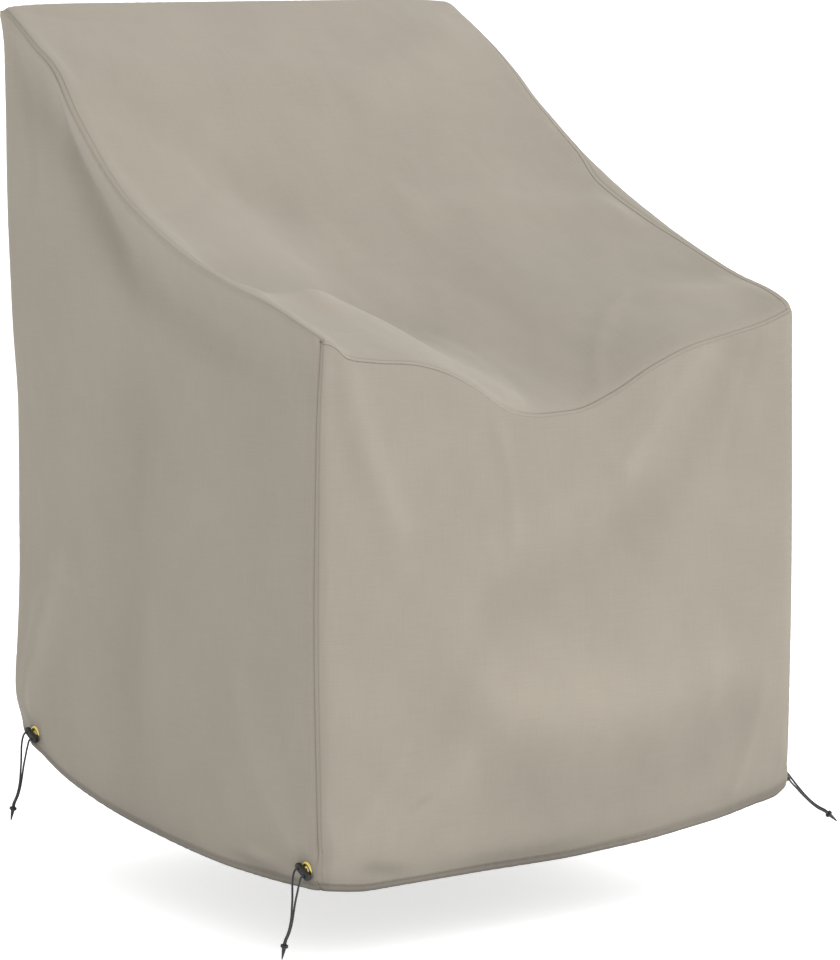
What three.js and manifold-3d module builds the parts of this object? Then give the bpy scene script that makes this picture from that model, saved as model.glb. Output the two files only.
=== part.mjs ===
// A fitted cloth cover with a high back and two arm-high front corners, in the shape in which it
// hangs in use: five panels sewn edge to edge, and near each lower corner an eyelet, a bar toggle
// and two cords that share one pointed end. Millimetres, +X to the right seen from the front,
// +Y to the back, +Z up. Depths are written behind the front panel and heights above the ground.
// The last lines move everything so that the origin lies under the top edge, where it is held up.

import * as THREE from "three";
import { mergeVertices } from "three/addons/utils/BufferGeometryUtils.js";
import Module from "manifold-3d";

const wasm = await Module();
wasm.setup();

// Driving dimensions of the cover
const HALF_WIDTH = 326;
const DEPTH = 632;
const TOP_HEIGHT = 929;
const CLOTH = 1.6;
const HEM_CLOTH = 2.4;
const SEAM_GAP = 0.22;
const HELD_AT = { back: 600, height: 906.6 };

// Seams between the side panels and the main panel. The seam lies on top of the edge, a lap's
// width in from the side.
const SLOPE_SEAM = [
  { back: 0, left: 600, right: 600, lapLeft: 9, lapRight: 11 },
  { back: 30, left: 609, right: 613, lapLeft: 9, lapRight: 11 },
  { back: 90, left: 629, right: 628, lapLeft: 9, lapRight: 11.5 },
  { back: 160, left: 646, right: 651, lapLeft: 9, lapRight: 12 },
  { back: 240, left: 669, right: 683, lapLeft: 8, lapRight: 16 },
  { back: 320, left: 702, right: 719, lapLeft: 7, lapRight: 17 },
  { back: 380, left: 735, right: 752, lapLeft: 6, lapRight: 15 },
  { back: 430, left: 775, right: 786, lapLeft: 6, lapRight: 12 },
  { back: 475, left: 820, right: 819, lapLeft: 5, lapRight: 9 },
  { back: 500, left: 850, right: 839, lapLeft: 5, lapRight: 8 },
  { back: 560, left: 888, right: 881, lapLeft: 4.5, lapRight: 6 },
  { back: 632, left: 929, right: 929, lapLeft: 4, lapRight: 5 },
];

// Seam between the front panel and the main panel, which sags between the two front corners
const FRONT_SEAM = [
  { across: -326, height: 600 },
  { across: -300, height: 593 },
  { across: -283, height: 581 },
  { across: -249, height: 575 },
  { across: -190, height: 568 },
  { across: -157, height: 558 },
  { across: -122, height: 541 },
  { across: -72, height: 511 },
  { across: -30, height: 504 },
  { across: 10, height: 505 },
  { across: 66, height: 521 },
  { across: 121, height: 546 },
  { across: 170, height: 563 },
  { across: 231, height: 575 },
  { across: 281, height: 585 },
  { across: 326, height: 600 },
];

// Height of the hem along the front and back, and along the two sides. Ties draw it up at the
// left rear and the right front corner.
const HEM_ACROSS = [
  { across: -326, front: 22, back: 100 },
  { across: -250, front: 13, back: 70 },
  { across: -120, front: 13, back: 34 },
  { across: 0, front: 12, back: 20 },
  { across: 60, front: 14, back: 18 },
  { across: 120, front: 17, back: 18 },
  { across: 180, front: 23, back: 20 },
  { across: 230, front: 29, back: 22 },
  { across: 280, front: 38, back: 28 },
  { across: 308, front: 43, back: 31 },
  { across: 326, front: 51, back: 34 },
];
const HEM_ALONG = [
  { back: 0, left: 22, right: 51 },
  { back: 30, left: 20, right: 51 },
  { back: 80, left: 18, right: 46 },
  { back: 160, left: 17, right: 32 },
  { back: 240, left: 20, right: 23 },
  { back: 306, left: 25, right: 20 },
  { back: 378, left: 32, right: 19 },
  { back: 445, left: 42, right: 20 },
  { back: 526, left: 60, right: 23 },
  { back: 580, left: 78, right: 28 },
  { back: 632, left: 100, right: 34 },
];

// Depth of the rear edge at each height: it leans out at the top and at the ties
const REAR_LINE = [
  { height: 84, back: 606 },
  { height: 120, back: 614 },
  { height: 144, back: 618 },
  { height: 200, back: 611 },
  { height: 300, back: 604 },
  { height: 470, back: 605 },
  { height: 560, back: 616 },
  { height: 660, back: 625 },
  { height: 800, back: 631 },
  { height: 929, back: 637 },
];

// Main folds, each a soft ridge (rise above 0) or hollow (below 0) along a bent line. A point is
// [across, height] on the front and back, [back, height] on a side, [across, back] on the main
// panel. Width is how far the fold spreads from its line.
const FOLDS = {
  front_panel: [
    { from: [190, 562], bend: [125, 520], to: [78, 440], width: 24, rise: 5 },
    { from: [232, 556], bend: [185, 490], to: [140, 415], width: 27, rise: -4 },
    { from: [-105, 296], bend: [0, 326], to: [98, 384], width: 31, rise: -5 },
    { from: [-130, 356], bend: [-25, 386], to: [60, 436], width: 34, rise: 4 },
    { from: [-284, 548], bend: [-264, 470], to: [-228, 396], width: 19, rise: 4 },
    { from: [-115, 196], bend: [20, 150], to: [190, 196], width: 38, rise: 7 },
    { from: [-302, 62], bend: [-230, 88], to: [-150, 132], width: 24, rise: 4 },
  ],
  main_panel: [
    { from: [-62, 0], bend: [-84, 132], to: [-215, 150], width: 27, rise: 8 },
    { from: [-215, 150], bend: [-268, 152], to: [-322, 132], width: 25, rise: 6 },
    { from: [-74, 182], bend: [-150, 232], to: [-300, 216], width: 42, rise: -9 },
    { from: [322, 86], bend: [250, 74], to: [178, 112], width: 22, rise: 6 },
    { from: [318, 152], bend: [240, 150], to: [166, 196], width: 34, rise: -7 },
    { from: [302, 268], bend: [190, 330], to: [56, 350], width: 27, rise: 5 },
    { from: [-292, 520], bend: [-205, 446], to: [-118, 372], width: 34, rise: -5 },
    { from: [276, 566], bend: [196, 506], to: [84, 478], width: 32, rise: 4 },
  ],
  side_panel_left: [
    { from: [572, 140], bend: [520, 205], to: [486, 300], width: 28, rise: 5 },
    { from: [336, 110], bend: [352, 300], to: [318, 480], width: 48, rise: -5 },
    { from: [36, 78], bend: [84, 130], to: [112, 226], width: 24, rise: 4 },
  ],
  side_panel_right: [
    { from: [34, 92], bend: [100, 160], to: [136, 276], width: 28, rise: 5 },
    { from: [300, 90], bend: [276, 260], to: [322, 450], width: 46, rise: -5 },
    { from: [560, 80], bend: [500, 190], to: [470, 330], width: 32, rise: 4 },
  ],
  back_panel: [
    { from: [-262, 128], bend: [-180, 300], to: [-150, 560], width: 46, rise: 6 },
    { from: [-70, 90], bend: [-40, 400], to: [-80, 760], width: 54, rise: -6 },
    { from: [150, 70], bend: [120, 360], to: [164, 700], width: 48, rise: 6 },
  ],
};

// Ties: the depth of each eyelet, its height above the hem and how far round it the cloth lies flat;
// how far the tie draws the corner in from the side and from the end, and up to what height; and
// how far its cords lean back and drop, as shares of their route
const TIES = [
  {
    name: "front_left", side: -1, back: 20.5, aboveHem: 21, flat: 20.5,
    fromSide: 4, fromEnd: 0, upTo: 80, route: "hanging", lean: 0.88, drop: 0.96,
  },
  {
    name: "back_left", side: -1, back: 582.5, aboveHem: 20, flat: 23,
    fromSide: 3.5, fromEnd: 3.5, upTo: 85, route: "hanging", lean: 1.14, drop: 1.04,
  },
  {
    name: "front_right", side: 1, back: 20.5, aboveHem: 14, flat: 20.5,
    fromSide: 5, fromEnd: 0, upTo: 60, route: "sideways", lean: 1, drop: 1,
  },
  {
    name: "back_right", side: 1, back: 582.5, aboveHem: 19, flat: 21,
    fromSide: 4, fromEnd: 4, upTo: 60, route: "hanging", lean: 1, drop: 1,
  },
];

// Hardware
const CLEARANCE = 0.3;
const EYELET = { bore: 8.4, wall: 0.7, flange: 18.4, flangeThick: 1.2, sides: 14 };
const TOGGLE = {
  length: 26, width: 7.6, thick: 6.5, out: 5.2, up: -1, holeSpacing: 12.5, holeRadius: 1.95, tilt: 28.6,
};
const CORD = { diameter: 2.3, sides: 8, step: 6.6, endSides: 12 };

// Profile of the pointed cord end, from the face where the cords meet it to its tip
const CORD_END = [
  { along: 0, radius: 0 },
  { along: 0, radius: 3.4 },
  { along: 1.6, radius: 4.3 },
  { along: 2.9, radius: 4.1 },
  { along: 4.6, radius: 2.3 },
  { along: 8, radius: 1.8 },
  { along: 16.6, radius: 0.5 },
  { along: 17.2, radius: 0 },
];

// Middle line of a tie from inside the toggle to the cord end, from the centre of the eyelet, and
// how far one of its two cords lies from that line; the other lies as far on the other side
const CORD_ROUTES = {
  hanging: [
    { out: 3.4, back: 0, up: -1, apartOut: 0, apartBack: 5.5, apartUp: 3 },
    { out: 6.2, back: 0, up: -1, apartOut: 0, apartBack: 5.5, apartUp: 3 },
    { out: 9, back: 0, up: -1.1, apartOut: 0, apartBack: 5.5, apartUp: 3 },
    { out: 11.1, back: 0.3, up: -2.4, apartOut: 0.1, apartBack: 5.5, apartUp: 2.8 },
    { out: 12.2, back: 1.2, up: -5.8, apartOut: 0.3, apartBack: 5.5, apartUp: 2.5 },
    { out: 12.5, back: 2.6, up: -10.6, apartOut: 0.5, apartBack: 5.2, apartUp: 2.1 },
    { out: 12.4, back: 4.3, up: -16, apartOut: 0.6, apartBack: 4.5, apartUp: 1.9 },
    { out: 12, back: 6, up: -21.8, apartOut: 0.8, apartBack: 3.4, apartUp: 1.7 },
    { out: 11.6, back: 7.8, up: -28, apartOut: 1, apartBack: 2.1, apartUp: 1.5 },
    { out: 11.3, back: 9.5, up: -34.8, apartOut: 1.2, apartBack: 0.9, apartUp: 1.1 },
    { out: 11.2, back: 11.1, up: -42.2, apartOut: 1.35, apartBack: 0.2, apartUp: 0.7 },
    { out: 11.2, back: 12.6, up: -50.2, apartOut: 1.35, apartBack: -0.3, apartUp: 0.4 },
    { out: 11.4, back: 14.5, up: -58.6, apartOut: 1.3, apartBack: -0.45, apartUp: 0.2 },
    { out: 11.9, back: 17.1, up: -67, apartOut: 1.3, apartBack: -0.5, apartUp: 0.1 },
    { out: 12.8, back: 20.4, up: -74.8, apartOut: 1.3, apartBack: -0.5, apartUp: 0.1 },
    { out: 13.9, back: 23.5, up: -81.4, apartOut: 1.3, apartBack: -0.5, apartUp: 0.05 },
    { out: 14.2, back: 24.1, up: -84.6, apartOut: 1.3, apartBack: -0.5, apartUp: 0.02 },
  ],
  sideways: [
    { out: 3.4, back: 0, up: -1, apartOut: 0, apartBack: 5.5, apartUp: 3 },
    { out: 6.2, back: 0, up: -1, apartOut: 0, apartBack: 5.5, apartUp: 3 },
    { out: 9, back: 0, up: -1.2, apartOut: 0, apartBack: 5.5, apartUp: 3 },
    { out: 11.4, back: 0, up: -2.5, apartOut: 0.7, apartBack: 5.5, apartUp: 2.9 },
    { out: 13.8, back: 0.2, up: -4.8, apartOut: 2, apartBack: 5.2, apartUp: 2.8 },
    { out: 16.4, back: 0.4, up: -7.6, apartOut: 2.8, apartBack: 4.6, apartUp: 2.6 },
    { out: 19.4, back: 0.4, up: -11, apartOut: 2.7, apartBack: 4, apartUp: 2.3 },
    { out: 22.8, back: 0, up: -14.8, apartOut: 2.3, apartBack: 3.2, apartUp: 1.9 },
    { out: 26.6, back: -0.6, up: -19, apartOut: 1.7, apartBack: 2.3, apartUp: 1.5 },
    { out: 31, back: -1.4, up: -23.9, apartOut: 1.3, apartBack: 1.5, apartUp: 1.2 },
    { out: 36.4, back: -2.4, up: -29.7, apartOut: 1, apartBack: 1, apartUp: 0.9 },
    { out: 42.6, back: -3.9, up: -36, apartOut: 0.85, apartBack: 0.8, apartUp: 0.75 },
    { out: 49.4, back: -6, up: -42.2, apartOut: 0.8, apartBack: 0.75, apartUp: 0.8 },
    { out: 56.4, back: -8.6, up: -47.2, apartOut: 0.75, apartBack: 0.8, apartUp: 0.85 },
    { out: 62.4, back: -10.9, up: -50.8, apartOut: 0.75, apartBack: 0.8, apartUp: 0.85 },
    { out: 64.8, back: -11.4, up: -52.9, apartOut: 0.75, apartBack: 0.8, apartUp: 0.85 },
  ],
};

// How finely the cloth is divided: distances from an edge where the shape bends, then even steps
const ROWS_FROM_HEM = [0, 4.5, 30.5, 50, 80];
const ROWS_FROM_SEAM = [0, 6, 15, 30, 48, 66, 88];
const ROWS_BETWEEN = 6;
const COLUMNS_FROM_FRONT = [0, 4, 8.5, 32.5, 60, 92, 128, 166];
const COLUMNS_FROM_BACK = [0, 7, 16, 36, 63, 92];
const COLUMNS_BETWEEN = 11;
const COLUMNS_FROM_SIDE = [0, 7, 16, 30, 52];
const COLUMNS_ACROSS = 20;
const LAP_SHARES = [0, 0.5, 1];
const HEM_ROWS = 3;

const clamp = (value, low, high) => Math.min(high, Math.max(low, value));
const bell = (distance, spread) => Math.exp(-((distance / spread) ** 2));
const ease = (share) => {
  const s = clamp(share, 0, 1);
  return s * s * (3 - 2 * s);
};

// Value of a table's column at a place, on a smooth curve that never overshoots its rows
function read(table, key, column, at) {
  const x = table.map((row) => row[key]);
  const y = table.map((row) => row[column]);
  const last = x.length - 1;
  const place = clamp(at, x[0], x[last]);
  const chord = (i) => (y[i + 1] - y[i]) / (x[i + 1] - x[i]);
  const slope = (i) => {
    if (i === 0) return chord(0);
    if (i === last) return chord(last - 1);
    const before = x[i] - x[i - 1];
    const after = x[i + 1] - x[i];
    const mean = (chord(i - 1) * after + chord(i) * before) / (before + after);
    const smaller = Math.min(Math.abs(chord(i - 1)), Math.abs(chord(i)), Math.abs(mean) / 2);
    return (Math.sign(chord(i - 1)) + Math.sign(chord(i))) * smaller;
  };
  let i = 0;
  while (i < last - 1 && place > x[i + 1]) i += 1;
  const step = x[i + 1] - x[i];
  const u = (place - x[i]) / step;
  const rise = y[i + 1] - y[i];
  const a = slope(i) * step - rise;
  const b = rise - slope(i + 1) * step;
  return y[i] + u * rise + u * (1 - u) * (a * (1 - u) + b * u);
}

const slopeHeight = (side, back) => read(SLOPE_SEAM, "back", side < 0 ? "left" : "right", back);
const lapWidth = (side, back) => read(SLOPE_SEAM, "back", side < 0 ? "lapLeft" : "lapRight", back);
const frontHeight = (across) => read(FRONT_SEAM, "across", "height", across);
const frontHem = (across) => read(HEM_ACROSS, "across", "front", across);
const backHem = (across) => read(HEM_ACROSS, "across", "back", across);
const sideHem = (side, back) => read(HEM_ALONG, "back", side < 0 ? "left" : "right", back);

// Height of the main panel over the plan: level across at the top, sagging to the front seam's
// dip, whose hollow widens to the left on its way back
function mainHeight(across, back) {
  const s = across / HALF_WIDTH;
  const t = clamp(back / DEPTH, 0, 1);
  const level = (slopeHeight(-1, back) * (1 - s) + slopeHeight(1, back) * (1 + s)) / 2;
  const shifted = clamp(across + 150 * t * (1 - s * s), -HALF_WIDTH, HALF_WIDTH);
  const dip = (frontHeight(shifted) - frontHeight(HALF_WIDTH)) * (1 - t) ** 2 * (1 + 0.6 * t);
  const sag = 16 * Math.sin(Math.PI * t) ** 1.2 * (1 - s * s);
  const crown = 5 * (1 - Math.abs(s) ** 10) * t ** 4;
  return level + dip - sag + crown;
}

const sidePanel = (side) => (side < 0 ? "side_panel_left" : "side_panel_right");

// How far a place on a panel is from the panel's sewn edges
function fromSeams(panel, u, v) {
  if (panel === "main_panel") {
    const end = u < 0 ? -1 : 1;
    return Math.min(HALF_WIDTH - Math.abs(u) - lapWidth(end, v), v, DEPTH - v);
  }
  if (panel === "front_panel") return Math.min(HALF_WIDTH - Math.abs(u), frontHeight(u) - v);
  if (panel === "back_panel") return Math.min(HALF_WIDTH - Math.abs(u), TOP_HEIGHT - v);
  const side = panel === "side_panel_left" ? -1 : 1;
  return Math.min(u, DEPTH - u, slopeHeight(side, u) - v);
}

// Distance from a place to a fold's bent line
function foldDistance(fold, u, v) {
  const steps = 8;
  const along = (k) => {
    const t = k / steps;
    const mix = (i) => (1 - t) ** 2 * fold.from[i] + 2 * t * (1 - t) * fold.bend[i] + t * t * fold.to[i];
    return [mix(0), mix(1)];
  };
  let nearest = Infinity;
  for (let k = 0; k < steps; k += 1) {
    const [ax, ay] = along(k);
    const [bx, by] = along(k + 1);
    const length = (bx - ax) ** 2 + (by - ay) ** 2;
    const share = clamp(((u - ax) * (bx - ax) + (v - ay) * (by - ay)) / length, 0, 1);
    nearest = Math.min(nearest, Math.hypot(u - ax - share * (bx - ax), v - ay - share * (by - ay)));
  }
  return nearest;
}

// Rise of a panel's folds at a place on it, none at its seams
function foldRise(panel, u, v) {
  const fade = ease(fromSeams(panel, u, v) / 22);
  const rise = (fold) => fold.rise * bell(foldDistance(fold, u, v), fold.width);
  return FOLDS[panel].reduce((sum, fold) => sum + rise(fold), 0) * fade;
}

// Where a point of the flat-sided form goes as the cloth fills out, sags and rounds its edges.
// Only the folds depend on the panel, so neighbours keep meeting along their seams.
function drape(point, panel) {
  const { x, y, z } = point;
  const s = x / HALF_WIDTH;
  const t = y / DEPTH;
  const side = x < 0 ? -1 : 1;
  const atSide = Math.abs(s) ** 12;
  const atFront = (1 - t) ** 12;
  const atBack = t ** 12;
  const middle = Math.sqrt(Math.max(0, 1 - s * s));
  const wave = Math.sin(Math.PI * clamp(t, 0, 1));
  const move = new THREE.Vector3();

  // The rear edge follows its line, and the cover narrows a little to the top of the back
  move.y += (read(REAR_LINE, "height", "back", z) - DEPTH) * t ** 3;
  move.x -= s * 7 * t * clamp(z / TOP_HEIGHT, 0, 1) ** 2;

  // Fullness of each wall, and the set of the two front corners
  const share = (z - 20) / 560;
  move.x += side * 9 * wave ** 0.8 * bell(share - 0.45, 0.5) * atSide;
  move.y -= 12 * middle ** 1.4 * bell(share - 0.35, 0.45) * atFront;
  move.y += 10 * middle ** 1.4 * bell(z / 900 - 0.45, 0.4) * atBack;
  move.x += side * 5 * bell(z - 290, side < 0 ? 190 : 260) * bell(y, 120) * atSide;
  if (side < 0) move.x += (3 + 5 * bell(z - 600, 60)) * bell(y, 150) * atSide;

  // A roll along the slope seam and a hollow under it
  const below = slopeHeight(side, y) - z;
  const span = clamp((y - 40) / 120, 0, 1) * clamp((600 - y) / 60, 0, 1);
  move.x += side * span * atSide ** 3 * (4 * bell(below, 16) - 11 * bell(below - 62, 30));

  // The hem turns in
  const curl = (height) => clamp(1 - height / 45, 0, 1) ** 2;
  move.x -= side * 10 * curl(z - sideHem(side, y)) * Math.sqrt(Math.max(0, wave)) * atSide;
  move.y += 12 * curl(z - frontHem(x)) * middle * atFront;
  move.y -= 8 * curl(z - backHem(x)) * middle * atBack;

  // Rounding of the edges where two walls meet
  const round = (distance, nx, ny, nz, depth, reach) => {
    const pull = depth * clamp(1 - distance / reach, 0, 1) ** 2;
    move.x -= nx * pull;
    move.y -= ny * pull;
    move.z -= nz * pull;
  };
  for (const end of [-1, 1]) {
    const within = HALF_WIDTH - end * x;
    round(Math.hypot(within, y), end, -1, 0, end < 0 ? 4 : 2.8, 18);
    round(Math.hypot(within, DEPTH - y), end, 1, 0, 5 * clamp((TOP_HEIGHT - z) / 50, 0, 1), 20);
    round(Math.hypot(within, Math.max(0, slopeHeight(end, y) - z)), end, 0, 1, 3, 16);
  }
  round(Math.hypot(y, Math.max(0, frontHeight(x) - z)), 0, -1, 1, 2.5, 14);
  round(Math.hypot(DEPTH - y, Math.max(0, TOP_HEIGHT - z)), 0, 1, 1, 5, 22);

  // The ties draw the lower corners in
  for (const tie of TIES) {
    const corner = tie.back < DEPTH / 2 ? 0 : DEPTH;
    const near = bell(Math.hypot(x - tie.side * HALF_WIDTH, y - corner), 60);
    const low = clamp(1 - (z - sideHem(tie.side, corner)) / tie.upTo, 0, 1) ** 2;
    move.x -= tie.side * tie.fromSide * near * low;
    move.y += (corner === 0 ? 1 : -1) * tie.fromEnd * near * low;
  }

  if (panel === "front_panel") move.y -= foldRise(panel, x, z);
  if (panel === "back_panel") move.y += foldRise(panel, x, z);
  if (panel === "main_panel") move.z += foldRise(panel, x, y);
  if (panel === sidePanel(side) && atSide === 1) move.x += side * foldRise(panel, y, z);
  return move.add(point);
}

// Centre of each eyelet on the draped side panel, and the way from it to a place near it: out from
// the cloth, towards the back and up
function eyeletCentre(tie) {
  const height = sideHem(tie.side, tie.back) + tie.aboveHem;
  return drape(new THREE.Vector3(tie.side * HALF_WIDTH, tie.back, height), sidePanel(tie.side));
}
const CENTRES = TIES.map(eyeletCentre);
const place = (k, out, back, up) => CENTRES[k].clone().add(new THREE.Vector3(TIES[k].side * out, back, up));

// Cloth stands upright and flat round an eyelet and eases back to its own shape
function flatten(point) {
  CENTRES.forEach((centre, k) => {
    const distance = Math.hypot(point.y - centre.y, point.z - centre.z);
    const near = point.x * centre.x > 0 ? ease((TIES[k].flat + 12 - distance) / 12) : 0;
    point.x += near * (centre.x - point.x);
  });
  return point;
}

// Stations along a length: set distances from both ends, even steps between
function stations(length, fromStart, fromEnd, between) {
  const first = fromStart[fromStart.length - 1];
  const span = length - first - fromEnd[fromEnd.length - 1];
  const even = Array.from({ length: between }, (_, k) => first + (span * (k + 1)) / (between + 1));
  const ending = fromEnd.map((offset) => length - offset).reverse();
  return [...fromStart, ...even, ...ending];
}

// Heights of a wall's rows between its hem and the seam above it
function wallRows(hem, seam) {
  const rows = stations(seam - hem, ROWS_FROM_HEM, ROWS_FROM_SEAM, ROWS_BETWEEN);
  return rows.map((row) => hem + row);
}

// Positions of the main panel's columns, from one slope seam to the other
function mainColumns(back) {
  const left = -HALF_WIDTH + lapWidth(-1, back);
  const right = HALF_WIDTH - lapWidth(1, back);
  const columns = stations(right - left, COLUMNS_FROM_SIDE, COLUMNS_FROM_SIDE, COLUMNS_ACROSS);
  return columns.map((column) => left + column);
}

// Positions across a lap, from the side of the cover to the seam
const lapColumns = (side, back) => LAP_SHARES.map((share) => side * (HALF_WIDTH - share * lapWidth(side, back)));

// Columns of the front and back panels: both laps and the main panel's columns between them
function wallColumns(back) {
  return [...lapColumns(-1, back), ...mainColumns(back).slice(1, -1), ...lapColumns(1, back).reverse()];
}

// Grid of a panel's outer face: an array of columns, each an array of points
function panelGrid(panel) {
  const depths = stations(DEPTH, COLUMNS_FROM_FRONT, COLUMNS_FROM_BACK, COLUMNS_BETWEEN);
  const point = (x, y, z) => {
    const draped = drape(new THREE.Vector3(x, y, z), panel);
    return Math.abs(x) === HALF_WIDTH ? flatten(draped) : draped;
  };
  if (panel === "main_panel") {
    return depths.map((y) => mainColumns(y).map((x) => point(x, y, mainHeight(x, y))));
  }
  if (panel === "front_panel" || panel === "back_panel") {
    const y = panel === "front_panel" ? 0 : DEPTH;
    const hem = panel === "front_panel" ? frontHem : backHem;
    return wallColumns(y).map((x) => wallRows(hem(x), mainHeight(x, y)).map((z) => point(x, y, z)));
  }
  const side = panel === "side_panel_left" ? -1 : 1;
  return depths.map((y) => {
    const wall = wallRows(sideHem(side, y), slopeHeight(side, y));
    const upright = wall.map((z) => point(side * HALF_WIDTH, y, z));
    return [...upright, ...lapColumns(side, y).slice(1).map((x) => point(x, y, mainHeight(x, y)))];
  });
}

// Direction out of the cloth at each point of a grid, from its neighbours in the grid
function gridNormals(grid, turned) {
  return grid.map((column, i) => column.map((_, j) => {
    const before = grid[Math.max(i - 1, 0)][j];
    const after = grid[Math.min(i + 1, grid.length - 1)][j];
    const under = column[Math.max(j - 1, 0)];
    const over = column[Math.min(j + 1, column.length - 1)];
    const normal = after.clone().sub(before).cross(over.clone().sub(under)).normalize();
    return turned ? normal.negate() : normal;
  }));
}

// Step inwards at each place: along the mean of the directions of all panels that meet there, so
// that the sheets of two neighbours end on one line
function inwardSteps(grids, normals) {
  const key = (point) => [point.x, point.y, point.z].map((value) => value.toFixed(2)).join(" ");
  const meeting = new Map();
  for (const panel of Object.keys(grids)) {
    grids[panel].flat().forEach((point, k) => {
      const normal = normals[panel].flat()[k];
      const known = meeting.get(key(point)) ?? [];
      if (!known.some((other) => other.dot(normal) > 0.55)) known.push(normal);
      meeting.set(key(point), known);
    });
  }
  return (point) => {
    const known = meeting.get(key(point));
    const mean = known.reduce((sum, normal) => sum.add(normal), new THREE.Vector3()).normalize();
    const least = Math.min(...known.map((normal) => mean.dot(normal)));
    return mean.divideScalar(-Math.max(0.4, least));
  };
}

// Closed sheet of cloth from a panel's grid to a second one inside it. Sewn edges draw back by
// half a seam gap; the hem, the first row of a wall, is a free edge of doubled cloth.
function sheetSolid(grid, stepIn, isWall, turned) {
  const columns = grid.length;
  const rows = grid[0].length;
  const inner = grid.map((column) => column.map((point, j) => {
    const thick = isWall && j < HEM_ROWS ? HEM_CLOTH : CLOTH;
    return point.clone().addScaledVector(stepIn(point), thick);
  }));
  const drawBack = (face) => face.map((column, i) => column.map((point, j) => {
    const moved = point.clone();
    const pull = (neighbour) => moved.addScaledVector(neighbour.clone().sub(point).normalize(), SEAM_GAP);
    if (i === 0) pull(face[1][j]);
    if (i === columns - 1) pull(face[columns - 2][j]);
    if (j === rows - 1) pull(column[rows - 2]);
    if (j === 0 && !isWall) pull(column[1]);
    return moved;
  }));
  const points = [...drawBack(grid).flat(), ...drawBack(inner).flat()];
  const at = (layer, i, j) => (layer * columns + i) * rows + j;
  const triangles = [];
  const quad = (a, b, c, d) => triangles.push(a, b, c, a, c, d);
  for (let i = 0; i < columns - 1; i += 1) {
    for (let j = 0; j < rows - 1; j += 1) {
      quad(at(0, i, j), at(0, i + 1, j), at(0, i + 1, j + 1), at(0, i, j + 1));
      quad(at(1, i, j), at(1, i, j + 1), at(1, i + 1, j + 1), at(1, i + 1, j));
    }
    quad(at(0, i, 0), at(1, i, 0), at(1, i + 1, 0), at(0, i + 1, 0));
    quad(at(0, i, rows - 1), at(0, i + 1, rows - 1), at(1, i + 1, rows - 1), at(1, i, rows - 1));
  }
  for (let j = 0; j < rows - 1; j += 1) {
    const end = columns - 1;
    quad(at(0, 0, j), at(0, 0, j + 1), at(1, 0, j + 1), at(1, 0, j));
    quad(at(0, end, j), at(1, end, j), at(1, end, j + 1), at(0, end, j + 1));
  }
  if (turned) triangles.reverse();
  return bodyOf(points.flatMap((point) => point.toArray()), triangles);
}

// Geometry from plain arrays of positions and triangle corners
function bodyOf(positions, triangles) {
  const geometry = new THREE.BufferGeometry();
  geometry.setAttribute("position", new THREE.Float32BufferAttribute(positions, 3));
  geometry.setIndex(new THREE.BufferAttribute(Uint32Array.from(triangles), 1));
  return geometry;
}

// Geometry of one of the library's shapes with its doubled corners joined
function joined(geometry) {
  geometry.deleteAttribute("normal");
  geometry.deleteAttribute("uv");
  return mergeVertices(geometry, 1e-4);
}

// Holes for the eyelets of one side panel
function pierced(geometry, side) {
  const solid = new wasm.Manifold(new wasm.Mesh({
    numProp: 3,
    vertProperties: geometry.attributes.position.array,
    triVerts: geometry.index.array,
  }));
  const radius = EYELET.bore / 2 + EYELET.wall + CLEARANCE;
  const drill = wasm.Manifold.cylinder(24, radius, radius, EYELET.sides, true).rotate([0, 90, 0]);
  const cut = TIES.reduce(
    (cloth, tie, k) => (tie.side === side ? cloth.subtract(drill.translate(CENTRES[k].toArray())) : cloth),
    solid,
  );
  const mesh = cut.getMesh();
  return bodyOf(Array.from(mesh.vertProperties), Array.from(mesh.triVerts));
}

// Turned shape whose profile is given as [radius, along] and whose axis points along a direction
function turnedBody(profile, sides, start, direction) {
  const points = profile.map(([radius, along]) => new THREE.Vector2(radius, along));
  const geometry = joined(new THREE.LatheGeometry(points, sides));
  const turn = new THREE.Quaternion().setFromUnitVectors(new THREE.Vector3(0, 1, 0), direction);
  return geometry.applyQuaternion(turn).translate(start.x, start.y, start.z);
}

// Brass ring with a flange on each face of the cloth
function eyeletBody(k) {
  const bore = EYELET.bore / 2;
  const rim = EYELET.flange / 2;
  const tube = bore + EYELET.wall;
  const near = CLEARANCE;
  const far = -HEM_CLOTH - CLEARANCE;
  const thick = EYELET.flangeThick;
  const profile = [
    [bore, near + 0.6], [bore + 0.4, near + thick], [bore + 2, near + thick + 0.1],
    [rim - 0.9, near + thick * 0.75], [rim, near + 0.3], [rim - 0.1, near], [tube, near],
    [tube, far], [rim - 0.1, far], [rim, far - 0.3], [rim - 0.9, far - thick * 0.75],
    [bore + 0.4, far - thick], [bore, far - 0.6], [bore, near + 0.6],
  ];
  return turnedBody(profile, EYELET.sides, place(k, 0, 0, 0), new THREE.Vector3(TIES[k].side, 0, 0));
}

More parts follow.
